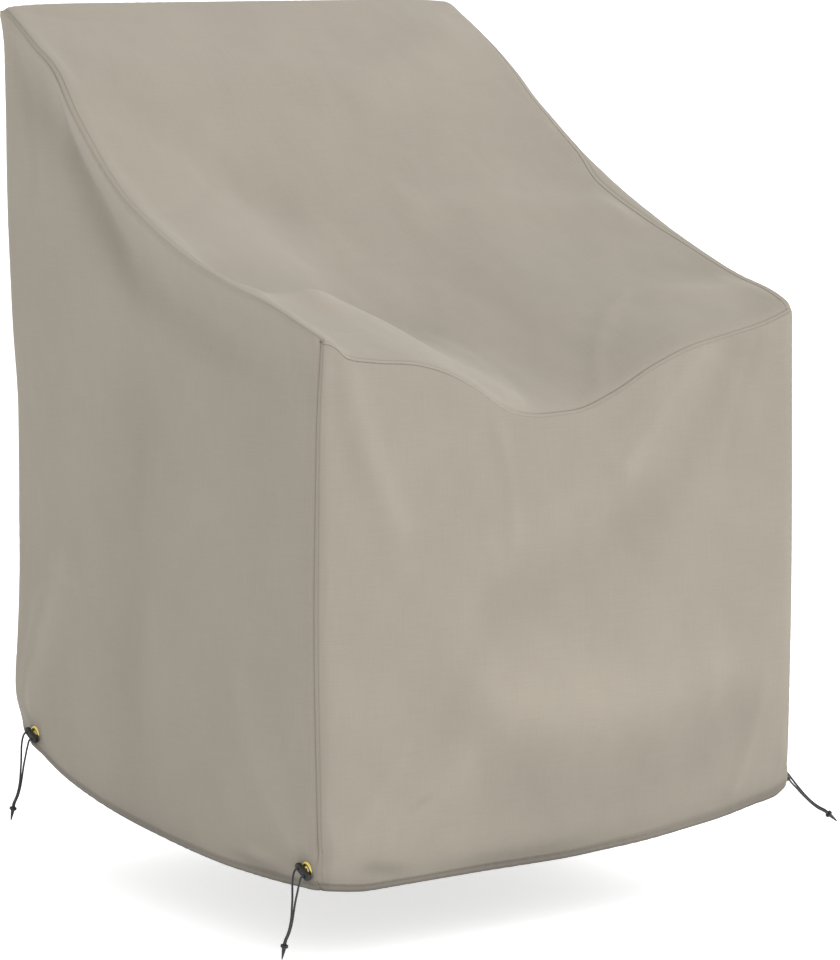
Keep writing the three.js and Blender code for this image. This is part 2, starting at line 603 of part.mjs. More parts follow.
// Bar toggle lying over the eyelet, with a hole through it for each cord
function toggleBody(k) {
  const { length, width, thick, holeSpacing, holeRadius, tilt } = TOGGLE;
  const edge = 1.4;
  const outline = new THREE.Shape();
  const reach = (length - width) / 2;
  const radius = width / 2 - edge;
  outline.absarc(reach, 0, radius, -Math.PI / 2, Math.PI / 2, false);
  outline.absarc(-reach, 0, radius, Math.PI / 2, (3 * Math.PI) / 2, false);
  const geometry = new THREE.ExtrudeGeometry(outline, {
    depth: thick - 2 * edge, bevelThickness: edge, bevelSize: edge, bevelSegments: 2, curveSegments: 6,
  });
  geometry.translate(0, 0, edge - thick / 2);
  const bar = joined(geometry);
  const solid = new wasm.Manifold(new wasm.Mesh({
    numProp: 3,
    vertProperties: bar.attributes.position.array,
    triVerts: Uint32Array.from(bar.index.array),
  }));
  const drill = wasm.Manifold.cylinder(thick * 2, holeRadius, holeRadius, 10, true);
  const holes = [-1, 1].map((end) => drill.translate([(end * holeSpacing) / 2, 0, 0]));
  const mesh = solid.subtract(holes[0]).subtract(holes[1]).getMesh();
  const body = bodyOf(Array.from(mesh.vertProperties), Array.from(mesh.triVerts));
  const lean = THREE.MathUtils.degToRad(tilt);
  const side = TIES[k].side;
  const along = new THREE.Vector3(0, Math.cos(lean), Math.sin(lean));
  const out = new THREE.Vector3(side, 0, 0);
  const frame = new THREE.Matrix4().makeBasis(along, out.clone().cross(along), out);
  frame.setPosition(place(k, TOGGLE.out, 0, TOGGLE.up));
  return body.applyMatrix4(frame);
}

// Middle line of one cord of a tie; the two cords lie on either side of the tie's own line
function cordLine(k, end) {
  const { route, lean, drop } = TIES[k];
  return CORD_ROUTES[route].map((row) => place(
    k,
    row.out + end * row.apartOut,
    row.back * lean + end * row.apartBack,
    row.up * drop + end * row.apartUp,
  ));
}

// Round cord along its middle line
function cordBody(line) {
  const ring = Array.from({ length: CORD.sides }, (_, k) => {
    const angle = ((k + 0.5) * 2 * Math.PI) / CORD.sides;
    return new THREE.Vector2(Math.cos(angle), Math.sin(angle)).multiplyScalar(CORD.diameter / 2);
  });
  const path = new THREE.CatmullRomCurve3(line, false, "centripetal");
  const steps = Math.round(path.getLength() / CORD.step);
  const geometry = new THREE.ExtrudeGeometry(new THREE.Shape(ring), { steps, extrudePath: path });
  return joined(geometry);
}

// Pointed cord end that goes on where the tie's own line stops
function cordEndBody(k) {
  const [before, last] = cordLine(k, 0).slice(-2);
  const direction = last.clone().sub(before).normalize();
  const profile = CORD_END.map((row) => [row.radius, row.along]);
  return turnedBody(profile, CORD.endSides, last.addScaledVector(direction, CLEARANCE), direction);
}

// Solid volume inside a geometry's triangles, negative when its faces point in
function volumeOf(geometry) {
  const corner = (k) => new THREE.Vector3().fromBufferAttribute(geometry.attributes.position, geometry.index.array[k]);
  let sum = 0;
  for (let k = 0; k < geometry.index.count; k += 3) sum += corner(k).dot(corner(k + 1).cross(corner(k + 2))) / 6;
  return sum;
}

// Finishes
const FINISHES = {
  cloth: new THREE.MeshStandardMaterial({ name: "taupe_cloth", color: "#aaa295", roughness: 0.85, metalness: 0 }),
  brass: new THREE.MeshStandardMaterial({ name: "pale_brass", color: "#c9b478", roughness: 0.35, metalness: 0.9 }),
  plastic: new THREE.MeshStandardMaterial({ name: "charcoal_plastic", color: "#39393b", roughness: 0.5, metalness: 0 }),
  cord: new THREE.MeshStandardMaterial({ name: "charcoal_cord", color: "#3f3f42", roughness: 0.9, metalness: 0 }),
};

const cover = new THREE.Group();
cover.name = "chair_cover";

function add(name, geometry, finish) {
  if (volumeOf(geometry) < 0) geometry.setIndex(Array.from(geometry.index.array).reverse());
  const mesh = new THREE.Mesh(geometry, finish);
  mesh.name = name;
  mesh.position.set(0, -HELD_AT.back, -HELD_AT.height);
  cover.add(mesh);
}

const TURNED = { back_panel: true, main_panel: true, front_panel: false, side_panel_left: true, side_panel_right: false };
const grids = {};
const normals = {};
for (const panel of Object.keys(TURNED)) {
  grids[panel] = panelGrid(panel);
  normals[panel] = gridNormals(grids[panel], TURNED[panel]);
}
const stepIn = inwardSteps(grids, normals);
for (const panel of Object.keys(TURNED)) {
  const cloth = sheetSolid(grids[panel], stepIn, panel !== "main_panel", TURNED[panel]);
  const side = { side_panel_left: -1, side_panel_right: 1 }[panel];
  add(panel, side ? pierced(cloth, side) : cloth, FINISHES.cloth);
}
TIES.forEach((tie, k) => {
  add(`eyelet_${tie.name}`, eyeletBody(k), FINISHES.brass);
  add(`toggle_${tie.name}`, toggleBody(k), FINISHES.plastic);
  add(`cord_${tie.name}_a`, cordBody(cordLine(k, 1)), FINISHES.cord);
  add(`cord_${tie.name}_b`, cordBody(cordLine(k, -1)), FINISHES.cord);
  add(`cord_end_${tie.name}`, cordEndBody(k), FINISHES.plastic);
});

export default cover;
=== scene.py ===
"""Fitted cloth cover with a high back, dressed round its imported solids.

Five sewn panels, their topstitching, and at each lower corner an eyelet, a bar toggle and two
cords that share a pointed end. Lengths in the tables are millimetres in the cutter's frame: across
to the right from the middle, back from the front panel, and up from the ground. Every finished
mesh is in metres in the row frame, whose origin lies under the top edge of the back.
"""

import logging
import math
from dataclasses import dataclass, field
from enum import Enum

import bpy
import numpy as np
from bpy.types import Material, Node, NodeSocket, NodeTree, Object
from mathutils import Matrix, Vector


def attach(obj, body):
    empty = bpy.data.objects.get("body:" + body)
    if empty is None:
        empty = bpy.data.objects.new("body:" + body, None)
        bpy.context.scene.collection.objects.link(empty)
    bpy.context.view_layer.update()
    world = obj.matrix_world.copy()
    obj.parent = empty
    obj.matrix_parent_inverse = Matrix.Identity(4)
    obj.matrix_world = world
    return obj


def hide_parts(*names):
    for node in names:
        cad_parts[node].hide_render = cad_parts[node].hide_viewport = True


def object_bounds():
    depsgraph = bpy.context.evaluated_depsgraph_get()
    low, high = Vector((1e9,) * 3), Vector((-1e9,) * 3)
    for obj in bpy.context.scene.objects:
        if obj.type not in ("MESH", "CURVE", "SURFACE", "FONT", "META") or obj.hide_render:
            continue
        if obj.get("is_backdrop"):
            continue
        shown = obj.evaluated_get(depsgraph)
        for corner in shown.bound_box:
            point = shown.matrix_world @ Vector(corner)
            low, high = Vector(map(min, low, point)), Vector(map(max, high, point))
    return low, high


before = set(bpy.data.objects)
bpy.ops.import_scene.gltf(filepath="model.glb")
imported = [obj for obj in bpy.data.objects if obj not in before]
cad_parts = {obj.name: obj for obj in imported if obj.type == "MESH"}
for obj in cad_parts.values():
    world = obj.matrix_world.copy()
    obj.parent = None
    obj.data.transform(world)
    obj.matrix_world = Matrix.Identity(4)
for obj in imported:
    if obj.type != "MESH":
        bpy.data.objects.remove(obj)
CAD_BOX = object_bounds()
LOG = logging.getLogger("chair_cover")
LOG.setLevel(logging.INFO)

Array = np.ndarray
Pair = tuple[Array, Array]
Couple = tuple[float, float]
Triple = tuple[float, float, float]
Row = tuple[float, ...]
Table = dict[str, Row]
Input = float | Row | NodeSocket

# Origin of the row frame in the cutter's frame, and the size of a millimetre
HELD_AT = np.array([0.0, 600.0, 906.6])
METRE = 0.001

# Search for the nearest place on a fold's line: first places, and steps that follow
SEARCH_PLACES = 9
SEARCH_STEPS = 3

# Seam between each side panel and the main panel: its height along the depth, the width of the
# lap that the side panel makes over the edge, how dark its line is painted as shade, and how deep
# the groove of its stitches is and how dark that is painted as shade
SLOPE_SEAM = {
    "back": (0, 30, 90, 160, 240, 320, 380, 430, 475, 500, 560, 632),
    "left": (600, 609, 629, 646, 669, 702, 735, 775, 820, 850, 888, 929),
    "right": (600, 613, 628, 651, 684, 722, 756, 789, 821, 842, 885, 929),
    "lap_left": (9, 9, 9, 9, 8, 7, 6, 6, 5, 5, 4.5, 4),
    "lap_right": (11, 11, 11.5, 12, 19, 24, 12, 10, 9, 8, 6, 5),
    "line_left": (0.6, 0.7, 0.7, 0.6, 0.4, 0.5, 0.6, 0.6, 0.7, 0.9, 0.7, 0.4),
    "row_left": (0.15, 0.15, 0.3, 0.3, 0.1, 0.1, 0.1, 0.1, 0.3, 1.6, 0.7, 0.1),
    "line_right": (0.2, 0.3, 0.4, 0.4, 0.4, 0.4, 0.3, 0.1, 0, 0, 0, 0),
    "row_right": (0.3, 0.4, 0.4, 0.3, 0.4, 0.9, 0.5, 0.1, 0.1, 0.1, 0.1, 0.1),
}

# Seam between the front panel and the main panel, which sags between the front corners, how dark
# its line is painted as shade, and how deep the groove of its stitches is and how dark that is
# painted as shade
FRONT_SEAM = {
    "across": (-326, -300, -283, -249, -190, -157, -122, -72, -30, 10, 66, 121, 170, 231, 281, 326),
    "height": (600, 593, 581, 575, 568, 558, 541, 511, 504, 505, 521, 546, 563, 575, 585, 600),
    "line": (0.6, 0.7, 0.7, 0.6, 0.6, 0.7, 0.4, 0.5, 0.9, 1, 0.9, 0.7, 0.5, 0.4, 0.4, 0.4),
    "row": (1.4, 1.7, 1.7, 1.7, 1.6, 1.3, 0.5, 0.2, 0.2, 0.2, 0.2, 0.2, 0.2, 0.3, 0.7, 1),
}

# Height of the hem along the front and the back, and along the two sides
HEM_ACROSS = {
    "across": (-326, -250, -120, 0, 60, 120, 180, 230, 280, 308, 326),
    "front": (22, 13, 13, 12, 14, 17, 23, 29, 38, 43, 51),
    "back": (100, 70, 34, 20, 18, 18, 20, 22, 28, 31, 34),
}
HEM_ALONG = {
    "back": (0, 30, 80, 160, 240, 306, 378, 445, 526, 580, 632),
    "left": (22, 20, 18, 17, 20, 25, 32, 42, 60, 78, 100),
    "right": (51, 51, 46, 32, 23, 20, 19, 20, 23, 28, 34),
}

# Depth of the rear edge at each height
REAR_LINE = {
    "height": (84, 120, 144, 200, 300, 470, 560, 660, 800, 929),
    "back": (606, 614, 618, 611, 604, 605, 616, 625, 631, 637),
}


class PanelName(Enum):
    """The five sewn panels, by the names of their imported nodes."""

    MAIN = "main_panel"
    FRONT = "front_panel"
    BACK = "back_panel"
    LEFT = "side_panel_left"
    RIGHT = "side_panel_right"

    @property
    def side(self) -> int:
        """-1 for the left side panel, 1 for the right one and 0 for the others."""
        return {PanelName.LEFT: -1, PanelName.RIGHT: 1}.get(self, 0)


@dataclass(frozen=True)
class Fold:
    """Soft ridge, or hollow where rise is negative, along a bent line on a panel.

    A place is (across, height) on the front and back, (back, height) on a side panel and
    (across, back) on the main panel. Width is how far the fold spreads from its line, tint the
    painted highlight on its cloth, which is painted shade where tint is negative, and fade the
    share by which it dies away at its ends.
    """

    start: Couple
    bend: Couple
    end: Couple
    width: float
    rise: float
    tint: float = 0.0
    fade: float = 0.0

    def profile(self, u: Array, v: Array) -> Array:
        """Bell curve over the distance to the fold's line, which is a parabola.

        The nearest of a few places on the line moves on by Newton's steps, until the line is
        square to the way from it to the point.

        Args:
            u: First coordinates.
            v: Second coordinates.

        Returns:
            A share from 0 to 1 at each place.
        """
        start, bend, end = (np.array(place, float) for place in (self.start, self.bend, self.end))
        speed, turn = 2 * (bend - start), start - 2 * bend + end
        point = np.stack(np.broadcast_arrays(u, v), axis=-1).astype(float)
        t = np.linspace(0, 1, SEARCH_PLACES)[:, None]
        line = start + t * speed + t * t * turn
        t = t[((point[..., None, :] - line) ** 2).sum(-1).argmin(-1)]
        for _ in range(SEARCH_STEPS):
            away, along = start + t * speed + t * t * turn - point, speed + 2 * t * turn
            slip = (away * along).sum(-1, keepdims=True)
            rate = (along * along).sum(-1, keepdims=True)
            change = rate + 2 * (away * turn).sum(-1, keepdims=True)
            t = np.clip(t - slip / np.maximum(change, rate / 4), 0, 1)
        away = start + t * speed + t * t * turn - point
        left_at_ends = 1 - self.fade * (2 * t[..., 0] - 1) ** 2
        return bell(np.linalg.norm(away, axis=-1), self.width) * left_at_ends

    def height(self, u: Array, v: Array) -> Array:
        """Rise of the fold at each place."""
        return self.rise * self.profile(u, v)


def folds(*rows: Row) -> tuple[Fold, ...]:
    """Folds from rows of the line's three places, the width, the rise, the tint and the fade."""
    return tuple(Fold(row[:2], row[2:4], row[4:6], *row[6:]) for row in rows)


# Main folds, those of the solids. On the main panel one is softer, and one dies away at its ends
FOLDS = {
    PanelName.FRONT: folds(
        (190, 562, 125, 520, 78, 440, 24, 5),
        (232, 556, 185, 490, 140, 415, 27, -4),
        (-105, 296, 0, 326, 98, 384, 31, -5),
        (-130, 356, -25, 386, 60, 436, 34, 4),
        (-284, 548, -264, 470, -228, 396, 19, 4),
        (-115, 196, 20, 150, 190, 196, 38, 7),
        (-302, 62, -230, 88, -150, 132, 24, 4),
    ),
    PanelName.MAIN: folds(
        (-62, 0, -84, 132, -215, 150, 27, 8),
        (-215, 150, -268, 152, -322, 132, 25, 6),
        (-74, 182, -150, 232, -300, 216, 42, -9),
        (322, 86, 250, 74, 178, 112, 22, 6, 0.0, 0.7),
        (318, 152, 240, 150, 166, 196, 34, -1.5),
        (302, 268, 190, 330, 56, 350, 27, 5),
        (-292, 520, -205, 446, -118, 372, 34, -5),
        (276, 566, 196, 506, 84, 478, 32, 4),
    ),
    PanelName.LEFT: folds(
        (572, 140, 520, 205, 486, 300, 28, 5),
        (336, 110, 352, 300, 318, 480, 48, -5),
        (36, 78, 84, 130, 112, 226, 24, 4),
    ),
    PanelName.RIGHT: folds(
        (34, 92, 100, 160, 136, 276, 28, 5),
        (300, 90, 276, 260, 322, 450, 46, -5),
        (560, 80, 500, 190, 470, 330, 32, 4),
    ),
    PanelName.BACK: folds(
        (-262, 128, -180, 300, -150, 560, 46, 6),
        (-70, 90, -40, 400, -80, 760, 54, -6),
        (150, 70, 120, 360, 164, 700, 48, 6),
    ),
}

# Fine creases, added here only. A crease's tint is a painted highlight along it, and painted
# shade where the tint is negative
CREASES = {
    PanelName.FRONT: folds(
        (-70, 216, 20, 200, 96, 212, 56, 4.0, 0.03),
        (-90, 100, 90, 56, 236, 140, 52, -3.0, -0.07),
        (-272, 66, -236, 84, -196, 104, 24, 1.0, -0.02),
        (-274, 40, -246, 35, -210, 29, 7.5, -2.2, -0.15, 0.8),
        (-190, 27, -84, 24, 30, 28, 10, -1.6, -0.12, 0.8),
        (-218, 92, -197, 103, -176, 112, 4.5, -0.9, -0.06, 0.9),
        (-300, 70, -262, 96, -236, 140, 9, 1.1),
        (-96, 500, -70, 440, -80, 372, 9, 1.1),
        (150, 540, 110, 486, 64, 452, 8, -1.2),
        (268, 560, 238, 500, 224, 430, 9, -1.0),
        (40, 62, 110, 74, 190, 100, 9, -1.1),
        (236, 60, 270, 110, 282, 180, 9, 1.2),
    ),
    PanelName.MAIN: folds(
        (226, 96, 266, 78, 318, 52, 12, 1.4, 0.02, 0.5),
        (250, 62, 290, 50, 326, 46, 30, 0.6, 0.075, 0.3),
        (-300, 40, -240, 66, -180, 60, 8, 1.2),
        (-40, 16, -10, 90, -50, 170, 9, -1.2),
        (60, 20, 96, 80, 180, 120, 9, 1.2),
        (-306, 330, -250, 344, -190, 400, 9, -1.2),
        (306, 420, 250, 400, 190, 420, 9, 1.0),
        (-296, 612, -240, 590, -190, 596, 7, -1.2),
        (300, 604, 250, 580, 206, 588, 7, 1.0),
    ),
    PanelName.LEFT: folds(
        (60, 30, 112, 30, 160, 38, 7, -2.2, -0.12, 0.8),
        (72, 49, 100, 46, 124, 50, 6, 1.6, 0.08, 0.8),
        (502, 826, 498, 778, 450, 732, 10, -0.8, -0.13, 0.6),
        (474, 762, 420, 702, 330, 606, 15, -1.4, -0.11, 0.7),
        (24, 66, 50, 110, 58, 170, 8, 1.2),
        (560, 110, 520, 128, 470, 120, 9, -1.3),
        (600, 150, 584, 220, 560, 260, 9, 1.2),
        (596, 880, 560, 800, 548, 730, 10, -1.2),
    ),
    PanelName.RIGHT: folds(
        (36, 76, 80, 84, 130, 74, 8, -1.4),
        (20, 90, 44, 140, 50, 200, 8, 1.2),
        (560, 60, 510, 80, 470, 76, 9, -1.2),
        (590, 860, 556, 790, 540, 720, 10, 1.2),
    ),
    PanelName.BACK: folds(
        (-296, 150, -250, 210, -236, 300, 10, 1.3),
        (-230, 110, -150, 130, -90, 120, 9, -1.3),
        (290, 60, 250, 120, 244, 200, 10, 1.2),
        (-280, 890, -230, 850, -200, 780, 9, -1.1),
        (284, 886, 240, 850, 216, 790, 9, 1.1),
    ),
}


def clamp(value: Array) -> Array:
    """Value kept between 0 and 1."""
    return np.clip(value, 0, 1)


def bell(distance: Array, spread: float) -> Array:
    """Bell curve: e to the power of minus the square of distance over spread."""
    return np.exp(-((distance / spread) ** 2))


def ease(share: Array) -> Array:
    """Smooth step from 0 to 1: 3 s squared minus 2 s cubed, with s kept between 0 and 1."""
    s = clamp(share)
    return s * s * (3 - 2 * s)


def read(table: Table, key: str, column: str, at: Array) -> Array:
    """Value of a table's column at a place, on a smooth curve that never overshoots its rows.

    Between two rows the curve is a cubic. Its slope at a row is that of the parabola through the
    row and its neighbours, cut to the smaller of the two chords' slopes, and 0 at a turn.

    Args:
        table: Columns of numbers by name.
        key: Column that holds the places, rising.
        column: Column that holds the values.
        at: Places to read.

    Returns:
        The value at each place.
    """
    x, y = np.array(table[key], float), np.array(table[column], float)
    step = np.diff(x)
    chord = np.diff(y) / step
    slope = np.empty_like(x)
    slope[0], slope[-1] = chord[0], chord[-1]
    mean = (chord[:-1] * step[1:] + chord[1:] * step[:-1]) / (step[:-1] + step[1:])
    least = np.minimum(np.minimum(abs(chord[:-1]), abs(chord[1:])), abs(mean) / 2)
    slope[1:-1] = (np.sign(chord[:-1]) + np.sign(chord[1:])) * least
    place = np.clip(at, x[0], x[-1])
    i = np.clip(np.searchsorted(x, place, side="left") - 1, 0, len(x) - 2)
    u = (place - x[i]) / step[i]
    rise = y[i + 1] - y[i]
    a, b = slope[i] * step[i] - rise, rise - slope[i + 1] * step[i]
    return y[i] + u * rise + u * (1 - u) * (a * (1 - u) + b * u)


def read_side(table: Table, side: Array, at: Array, kind: str = "") -> Array:
    """Value of a table at a depth for a side, from the two columns whose names start by kind."""
    left, right = (read(table, "back", kind + end, at) for end in ("left", "right"))
    return np.where(side < 0, left, right)


def run_along(line: Array) -> Array:
    """Distance of each of a line's points from its first, along the line."""
    return np.concatenate([[0], np.cumsum(np.linalg.norm(np.diff(line, axis=0), axis=1))])


def points_at(places: Array, run: Array, line: Array) -> Array:
    """Points of a line at some distances along it, straight between its own points."""
    return np.stack([np.interp(places, run, column) for column in line.T], axis=-1)


def unit(vectors: Array) -> Array:
    """Vectors brought to length 1."""
    return vectors / np.maximum(np.linalg.norm(vectors, axis=-1, keepdims=True), 1e-12)


def in_row_frame(points: Array) -> Array:
    """Points of the cutter's frame, in millimetres, as points of the row frame, in metres."""
    return (points - HELD_AT) * METRE


# Middle line of a tie from inside the toggle to the cord end: out, back and up from the middle of
# the eyelet, and how far its cords lie from that line in the same three directions
HANGING_ROUTE = (
    (3.4, 0, -1, 0, 5.5, 3), (6.2, 0, -1, 0, 5.5, 3), (9, 0, -1.1, 0, 5.5, 3),
    (11.1, 0.3, -2.4, 0.1, 5.5, 2.8), (12.2, 1.2, -5.8, 0.3, 5.5, 2.5),
    (12.5, 2.6, -10.6, 0.5, 5.2, 2.1), (12.4, 4.3, -16, 0.6, 4.5, 1.9),
    (12, 6, -21.8, 0.8, 3.4, 1.7), (11.6, 7.8, -28, 1, 2.1, 1.5),
    (11.3, 9.5, -34.8, 1.2, 0.9, 1.1), (11.2, 11.1, -42.2, 1.35, 0.2, 0.7),
    (11.2, 12.6, -50.2, 1.35, -0.3, 0.4), (11.4, 14.5, -58.6, 1.3, -0.45, 0.2),
    (11.9, 17.1, -67, 1.3, -0.5, 0.1), (12.8, 20.4, -74.8, 1.3, -0.5, 0.1),
    (13.9, 23.5, -81.4, 1.3, -0.5, 0.05), (14.2, 24.1, -84.6, 1.3, -0.5, 0.02),
)
SIDEWAYS_ROUTE = (
    (3.4, 0, -1, 0, 5.5, 3), (6.2, 0, -1, 0, 5.5, 3), (9, 0, -1.2, 0, 5.5, 3),
    (11.4, 0, -2.5, 0.7, 5.5, 2.9), (13.8, 0.2, -4.8, 2, 5.2, 2.8),
    (16.4, 0.4, -7.6, 2.8, 4.6, 2.6), (19.4, 0.4, -11, 2.7, 4, 2.3),
    (22.8, 0, -14.8, 2.3, 3.2, 1.9), (26.6, -0.6, -19, 1.7, 2.3, 1.5),
    (31, -1.4, -23.9, 1.3, 1.5, 1.2), (36.4, -2.4, -29.7, 1, 1, 0.9),
    (42.6, -3.9, -36, 0.85, 0.8, 0.75), (49.4, -6, -42.2, 0.8, 0.75, 0.8),
    (56.4, -8.6, -47.2, 0.75, 0.8, 0.85), (62.4, -10.9, -50.8, 0.75, 0.8, 0.85),
    (64.8, -11.4, -52.9, 0.75, 0.8, 0.85),
)


class TieLay(Enum):
    """How a tie's cords run from the toggle: straight down, or out to the side and down."""

    HANGING = "hanging"
    SIDEWAYS = "sideways"


@dataclass(frozen=True)
class TieSpot:
    """Where a tie sits on its side panel, and how it draws the corner in.

    Back is its depth, above_hem its height over the hem, flat how far round it the cloth is flat.
    Its cords lean back and drop by shares of their route.
    """

    name: str
    side: int
    back: float
    above_hem: float
    from_side: float
    from_end: float
    up_to: float
    lay: TieLay
    lean: float
    drop: float
    flat: float = 12.5


TIES = (
    TieSpot("front_left", -1, 20.5, 21, 4, 0, 80, TieLay.HANGING, 0.88, 0.96),
    TieSpot("back_left", -1, 582.5, 20, 3.5, 3.5, 85, TieLay.HANGING, 1.14, 1.04),
    TieSpot("front_right", 1, 20.5, 14, 5, 0, 60, TieLay.SIDEWAYS, 1, 1),
    TieSpot("back_right", 1, 582.5, 19, 4, 4, 60, TieLay.HANGING, 1, 1),
)


@dataclass
class CoverForm:
    """The cover's shape as it hangs: a flat-sided form, filled out, sagged and rounded.

    Bulges are the most that the sides, the front and the back swell, and curls the most that
    their hems turn in. The roll is the ridge along the top of a side, and the hollow the dent
    below it. Folds ease out over fold_ease before a seam, and the flat cloth at an eyelet over
    level_fade round it and level_within from the side's edge.
    """

    half_width: float = 326.0
    depth: float = 632.0
    top_height: float = 929.0
    sag: float = 16.0
    crown: float = 5.0
    dip_shift: float = 150.0
    taper: float = 7.0
    bulges: Triple = (9.0, 12.0, 10.0)
    curls: Triple = (10.0, 12.0, 8.0)
    curl_height: float = 45.0
    corner_bulge: float = 5.0
    roll: float = 4.0
    hollow: float = 11.0
    corner_reach: float = 60.0
    fold_ease: float = 22.0
    level_fade: float = 12.0
    level_within: float = 10.0
    eyelet_centres: dict[str, Array] = field(default_factory=dict)

    def __post_init__(self) -> None:
        """Finds where each eyelet's centre lies on the draped side panel."""
        for tie in TIES:
            panel = PanelName.LEFT if tie.side < 0 else PanelName.RIGHT
            place = (tie.side * self.half_width, tie.back, self.eyelet_height(tie))
            self.eyelet_centres[tie.name] = self.drape(np.array([place], float), panel)[0]

    def slope_height(self, side: Array, back: Array) -> Array:
        """Height of the edge between a side and the main panel at a depth."""
        return read_side(SLOPE_SEAM, side, back)

    def lap_width(self, side: Array, back: Array) -> Array:
        """Width of a side panel's lap over the edge at a depth."""
        return read_side(SLOPE_SEAM, side, back, "lap_")

    def lap_top(self, side: Array, back: Array) -> Array:
        """Second coordinate of a side panel's upper edge: the height and the lap."""
        return self.slope_height(side, back) + self.lap_width(side, back)

    def side_hem(self, side: Array, back: Array) -> Array:
        """Height of a side panel's hem at a depth."""
        return read_side(HEM_ALONG, side, back)

    def eyelet_height(self, tie: TieSpot) -> Array:
        """Height of the middle of a tie's eyelet on the flat-sided form."""
        return self.side_hem(tie.side, tie.back) + tie.above_hem

    def front_height(self, across: Array) -> Array:
        """Height of the front seam across the width."""
        return read(FRONT_SEAM, "across", "height", across)

    def main_height(self, across: Array, back: Array) -> Array:
        """Height of the main panel over the plan.

        It is level from side to side, plus the front seam's dip, which fades and shifts towards
        the back, minus a sag that is deepest half way, plus a low crown at the top.

        Args:
            across: Places across the width.
            back: Places along the depth.

        Returns:
            The height at each place.
        """
        half = self.half_width
        s, t = across / half, clamp(back / self.depth)
        left, right = self.slope_height(-1, back), self.slope_height(1, back)
        level = (left * (1 - s) + right * (1 + s)) / 2
        shifted = np.clip(across + self.dip_shift * t * (1 - s * s), -half, half)
        dip = self.front_height(shifted) - self.front_height(np.array(half))
        dip = dip * (1 - t) ** 2 * (1 + 0.6 * t)
        sag = self.sag * np.maximum(np.sin(np.pi * t), 0) ** 1.2 * (1 - s * s)
        crown = self.crown * (1 - np.abs(s) ** 10) * t**4
        return level + dip - sag + crown

    def fold_height(self, panel: PanelName, u: Array, v: Array) -> Array:
        """Rise of a panel's main folds, none at its seams.

        Args:
            panel: The panel.
            u: First coordinates.
            v: Second coordinates.

        Returns:
            The sum of the folds' rises, eased to nothing just before a seam.
        """
        beside = self.half_width - np.abs(u)
        if panel is PanelName.MAIN:
            room = (beside - self.lap_width(np.sign(u), v), v, self.depth - v)
        elif panel is PanelName.FRONT:
            room = (beside, self.front_height(u) - v)
        elif panel is PanelName.BACK:
            room = (beside, self.top_height - v)
        else:
            room = (u, self.depth - u, self.slope_height(panel.side, u) - v)
        total = sum(fold.height(u, v) for fold in FOLDS[panel])
        return total * ease(np.minimum.reduce(room) / self.fold_ease)

    def drape(self, points: Array, panel: PanelName) -> Array:
        """Where points of the flat-sided form go as the cloth fills out, sags and rounds.

        Only the folds depend on the panel, so neighbours keep meeting.

        Args:
            points: Points of the flat-sided form.
            panel: The panel that they are on.

        Returns:
            The draped points.
        """
        x, y, z = np.moveaxis(points, -1, 0)
        move = np.zeros(points.shape)
        for change in (self.fill_out, self.round_edges, self.draw_corners):
            change(points, move)
        if panel is PanelName.MAIN:
            move[..., 2] += self.fold_height(panel, x, y)
        elif panel.side:
            on_wall = np.abs(x / self.half_width) >= 1
            move[..., 0] += panel.side * self.fold_height(panel, y, z) * on_wall
        else:
            way = -1 if panel is PanelName.FRONT else 1
            move[..., 1] += way * self.fold_height(panel, x, z)
        return points + move

    def fill_out(self, points: Array, move: Array) -> None:
        """Adds the bulges of the walls, the roll under the slope and the curl of the hem.

        Each is a bell curve that fades away from its wall with a high power of the distance from
        the other side.

        Args:
            points: Points of the flat-sided form.
            move: Their moves so far, added to.
        """
        x, y, z = np.moveaxis(points, -1, 0)
        dx, dy = move[..., 0], move[..., 1]
        s, t = x / self.half_width, y / self.depth
        side = np.where(x < 0, -1, 1)
        at_side, at_front, at_back = np.abs(s) ** 12, (1 - t) ** 12, np.maximum(t, 0) ** 12
        middle = np.sqrt(np.maximum(0, 1 - s * s))
        wave = np.maximum(np.sin(np.pi * clamp(t)), 0)

        # Line of the rear edge, and the back's taper
        dy += (read(REAR_LINE, "height", "back", z) - self.depth) * t**3
        dx -= s * self.taper * t * clamp(z / self.top_height) ** 2

        # Bulges, deepest a third to half way up, and more at the front corners
        on_side, on_front, on_back = self.bulges
        share = (z - 20) / 560
        dx += side * on_side * wave**0.8 * bell(share - 0.45, 0.5) * at_side
        dy -= on_front * middle**1.4 * bell(share - 0.35, 0.45) * at_front
        dy += on_back * middle**1.4 * bell(z / 900 - 0.45, 0.4) * at_back
        reach = np.where(side < 0, 190.0, 260.0)
        dx += side * self.corner_bulge * bell(z - 290, reach) * bell(y, 120) * at_side
        dx += np.where(side < 0, (3 + 5 * bell(z - 600, 60)) * bell(y, 150) * at_side, 0)

        # Roll and hollow below the slope, away from both its ends
        below = self.slope_height(side, y) - z
        span = clamp((y - 40) / 120) * clamp((600 - y) / 60)
        roll = self.roll * bell(below, 16) - self.hollow * bell(below - 62, 30)
        dx += side * span * at_side**3 * roll

        # Curl of the hems
        on_side, on_front, on_back = self.curls
        front_hem, back_hem = (read(HEM_ACROSS, "across", wall, x) for wall in ("front", "back"))
        dx -= side * on_side * self.curl(z - self.side_hem(side, y)) * np.sqrt(wave) * at_side
        dy += on_front * self.curl(z - front_hem) * middle * at_front
        dy -= on_back * self.curl(z - back_hem) * middle * at_back

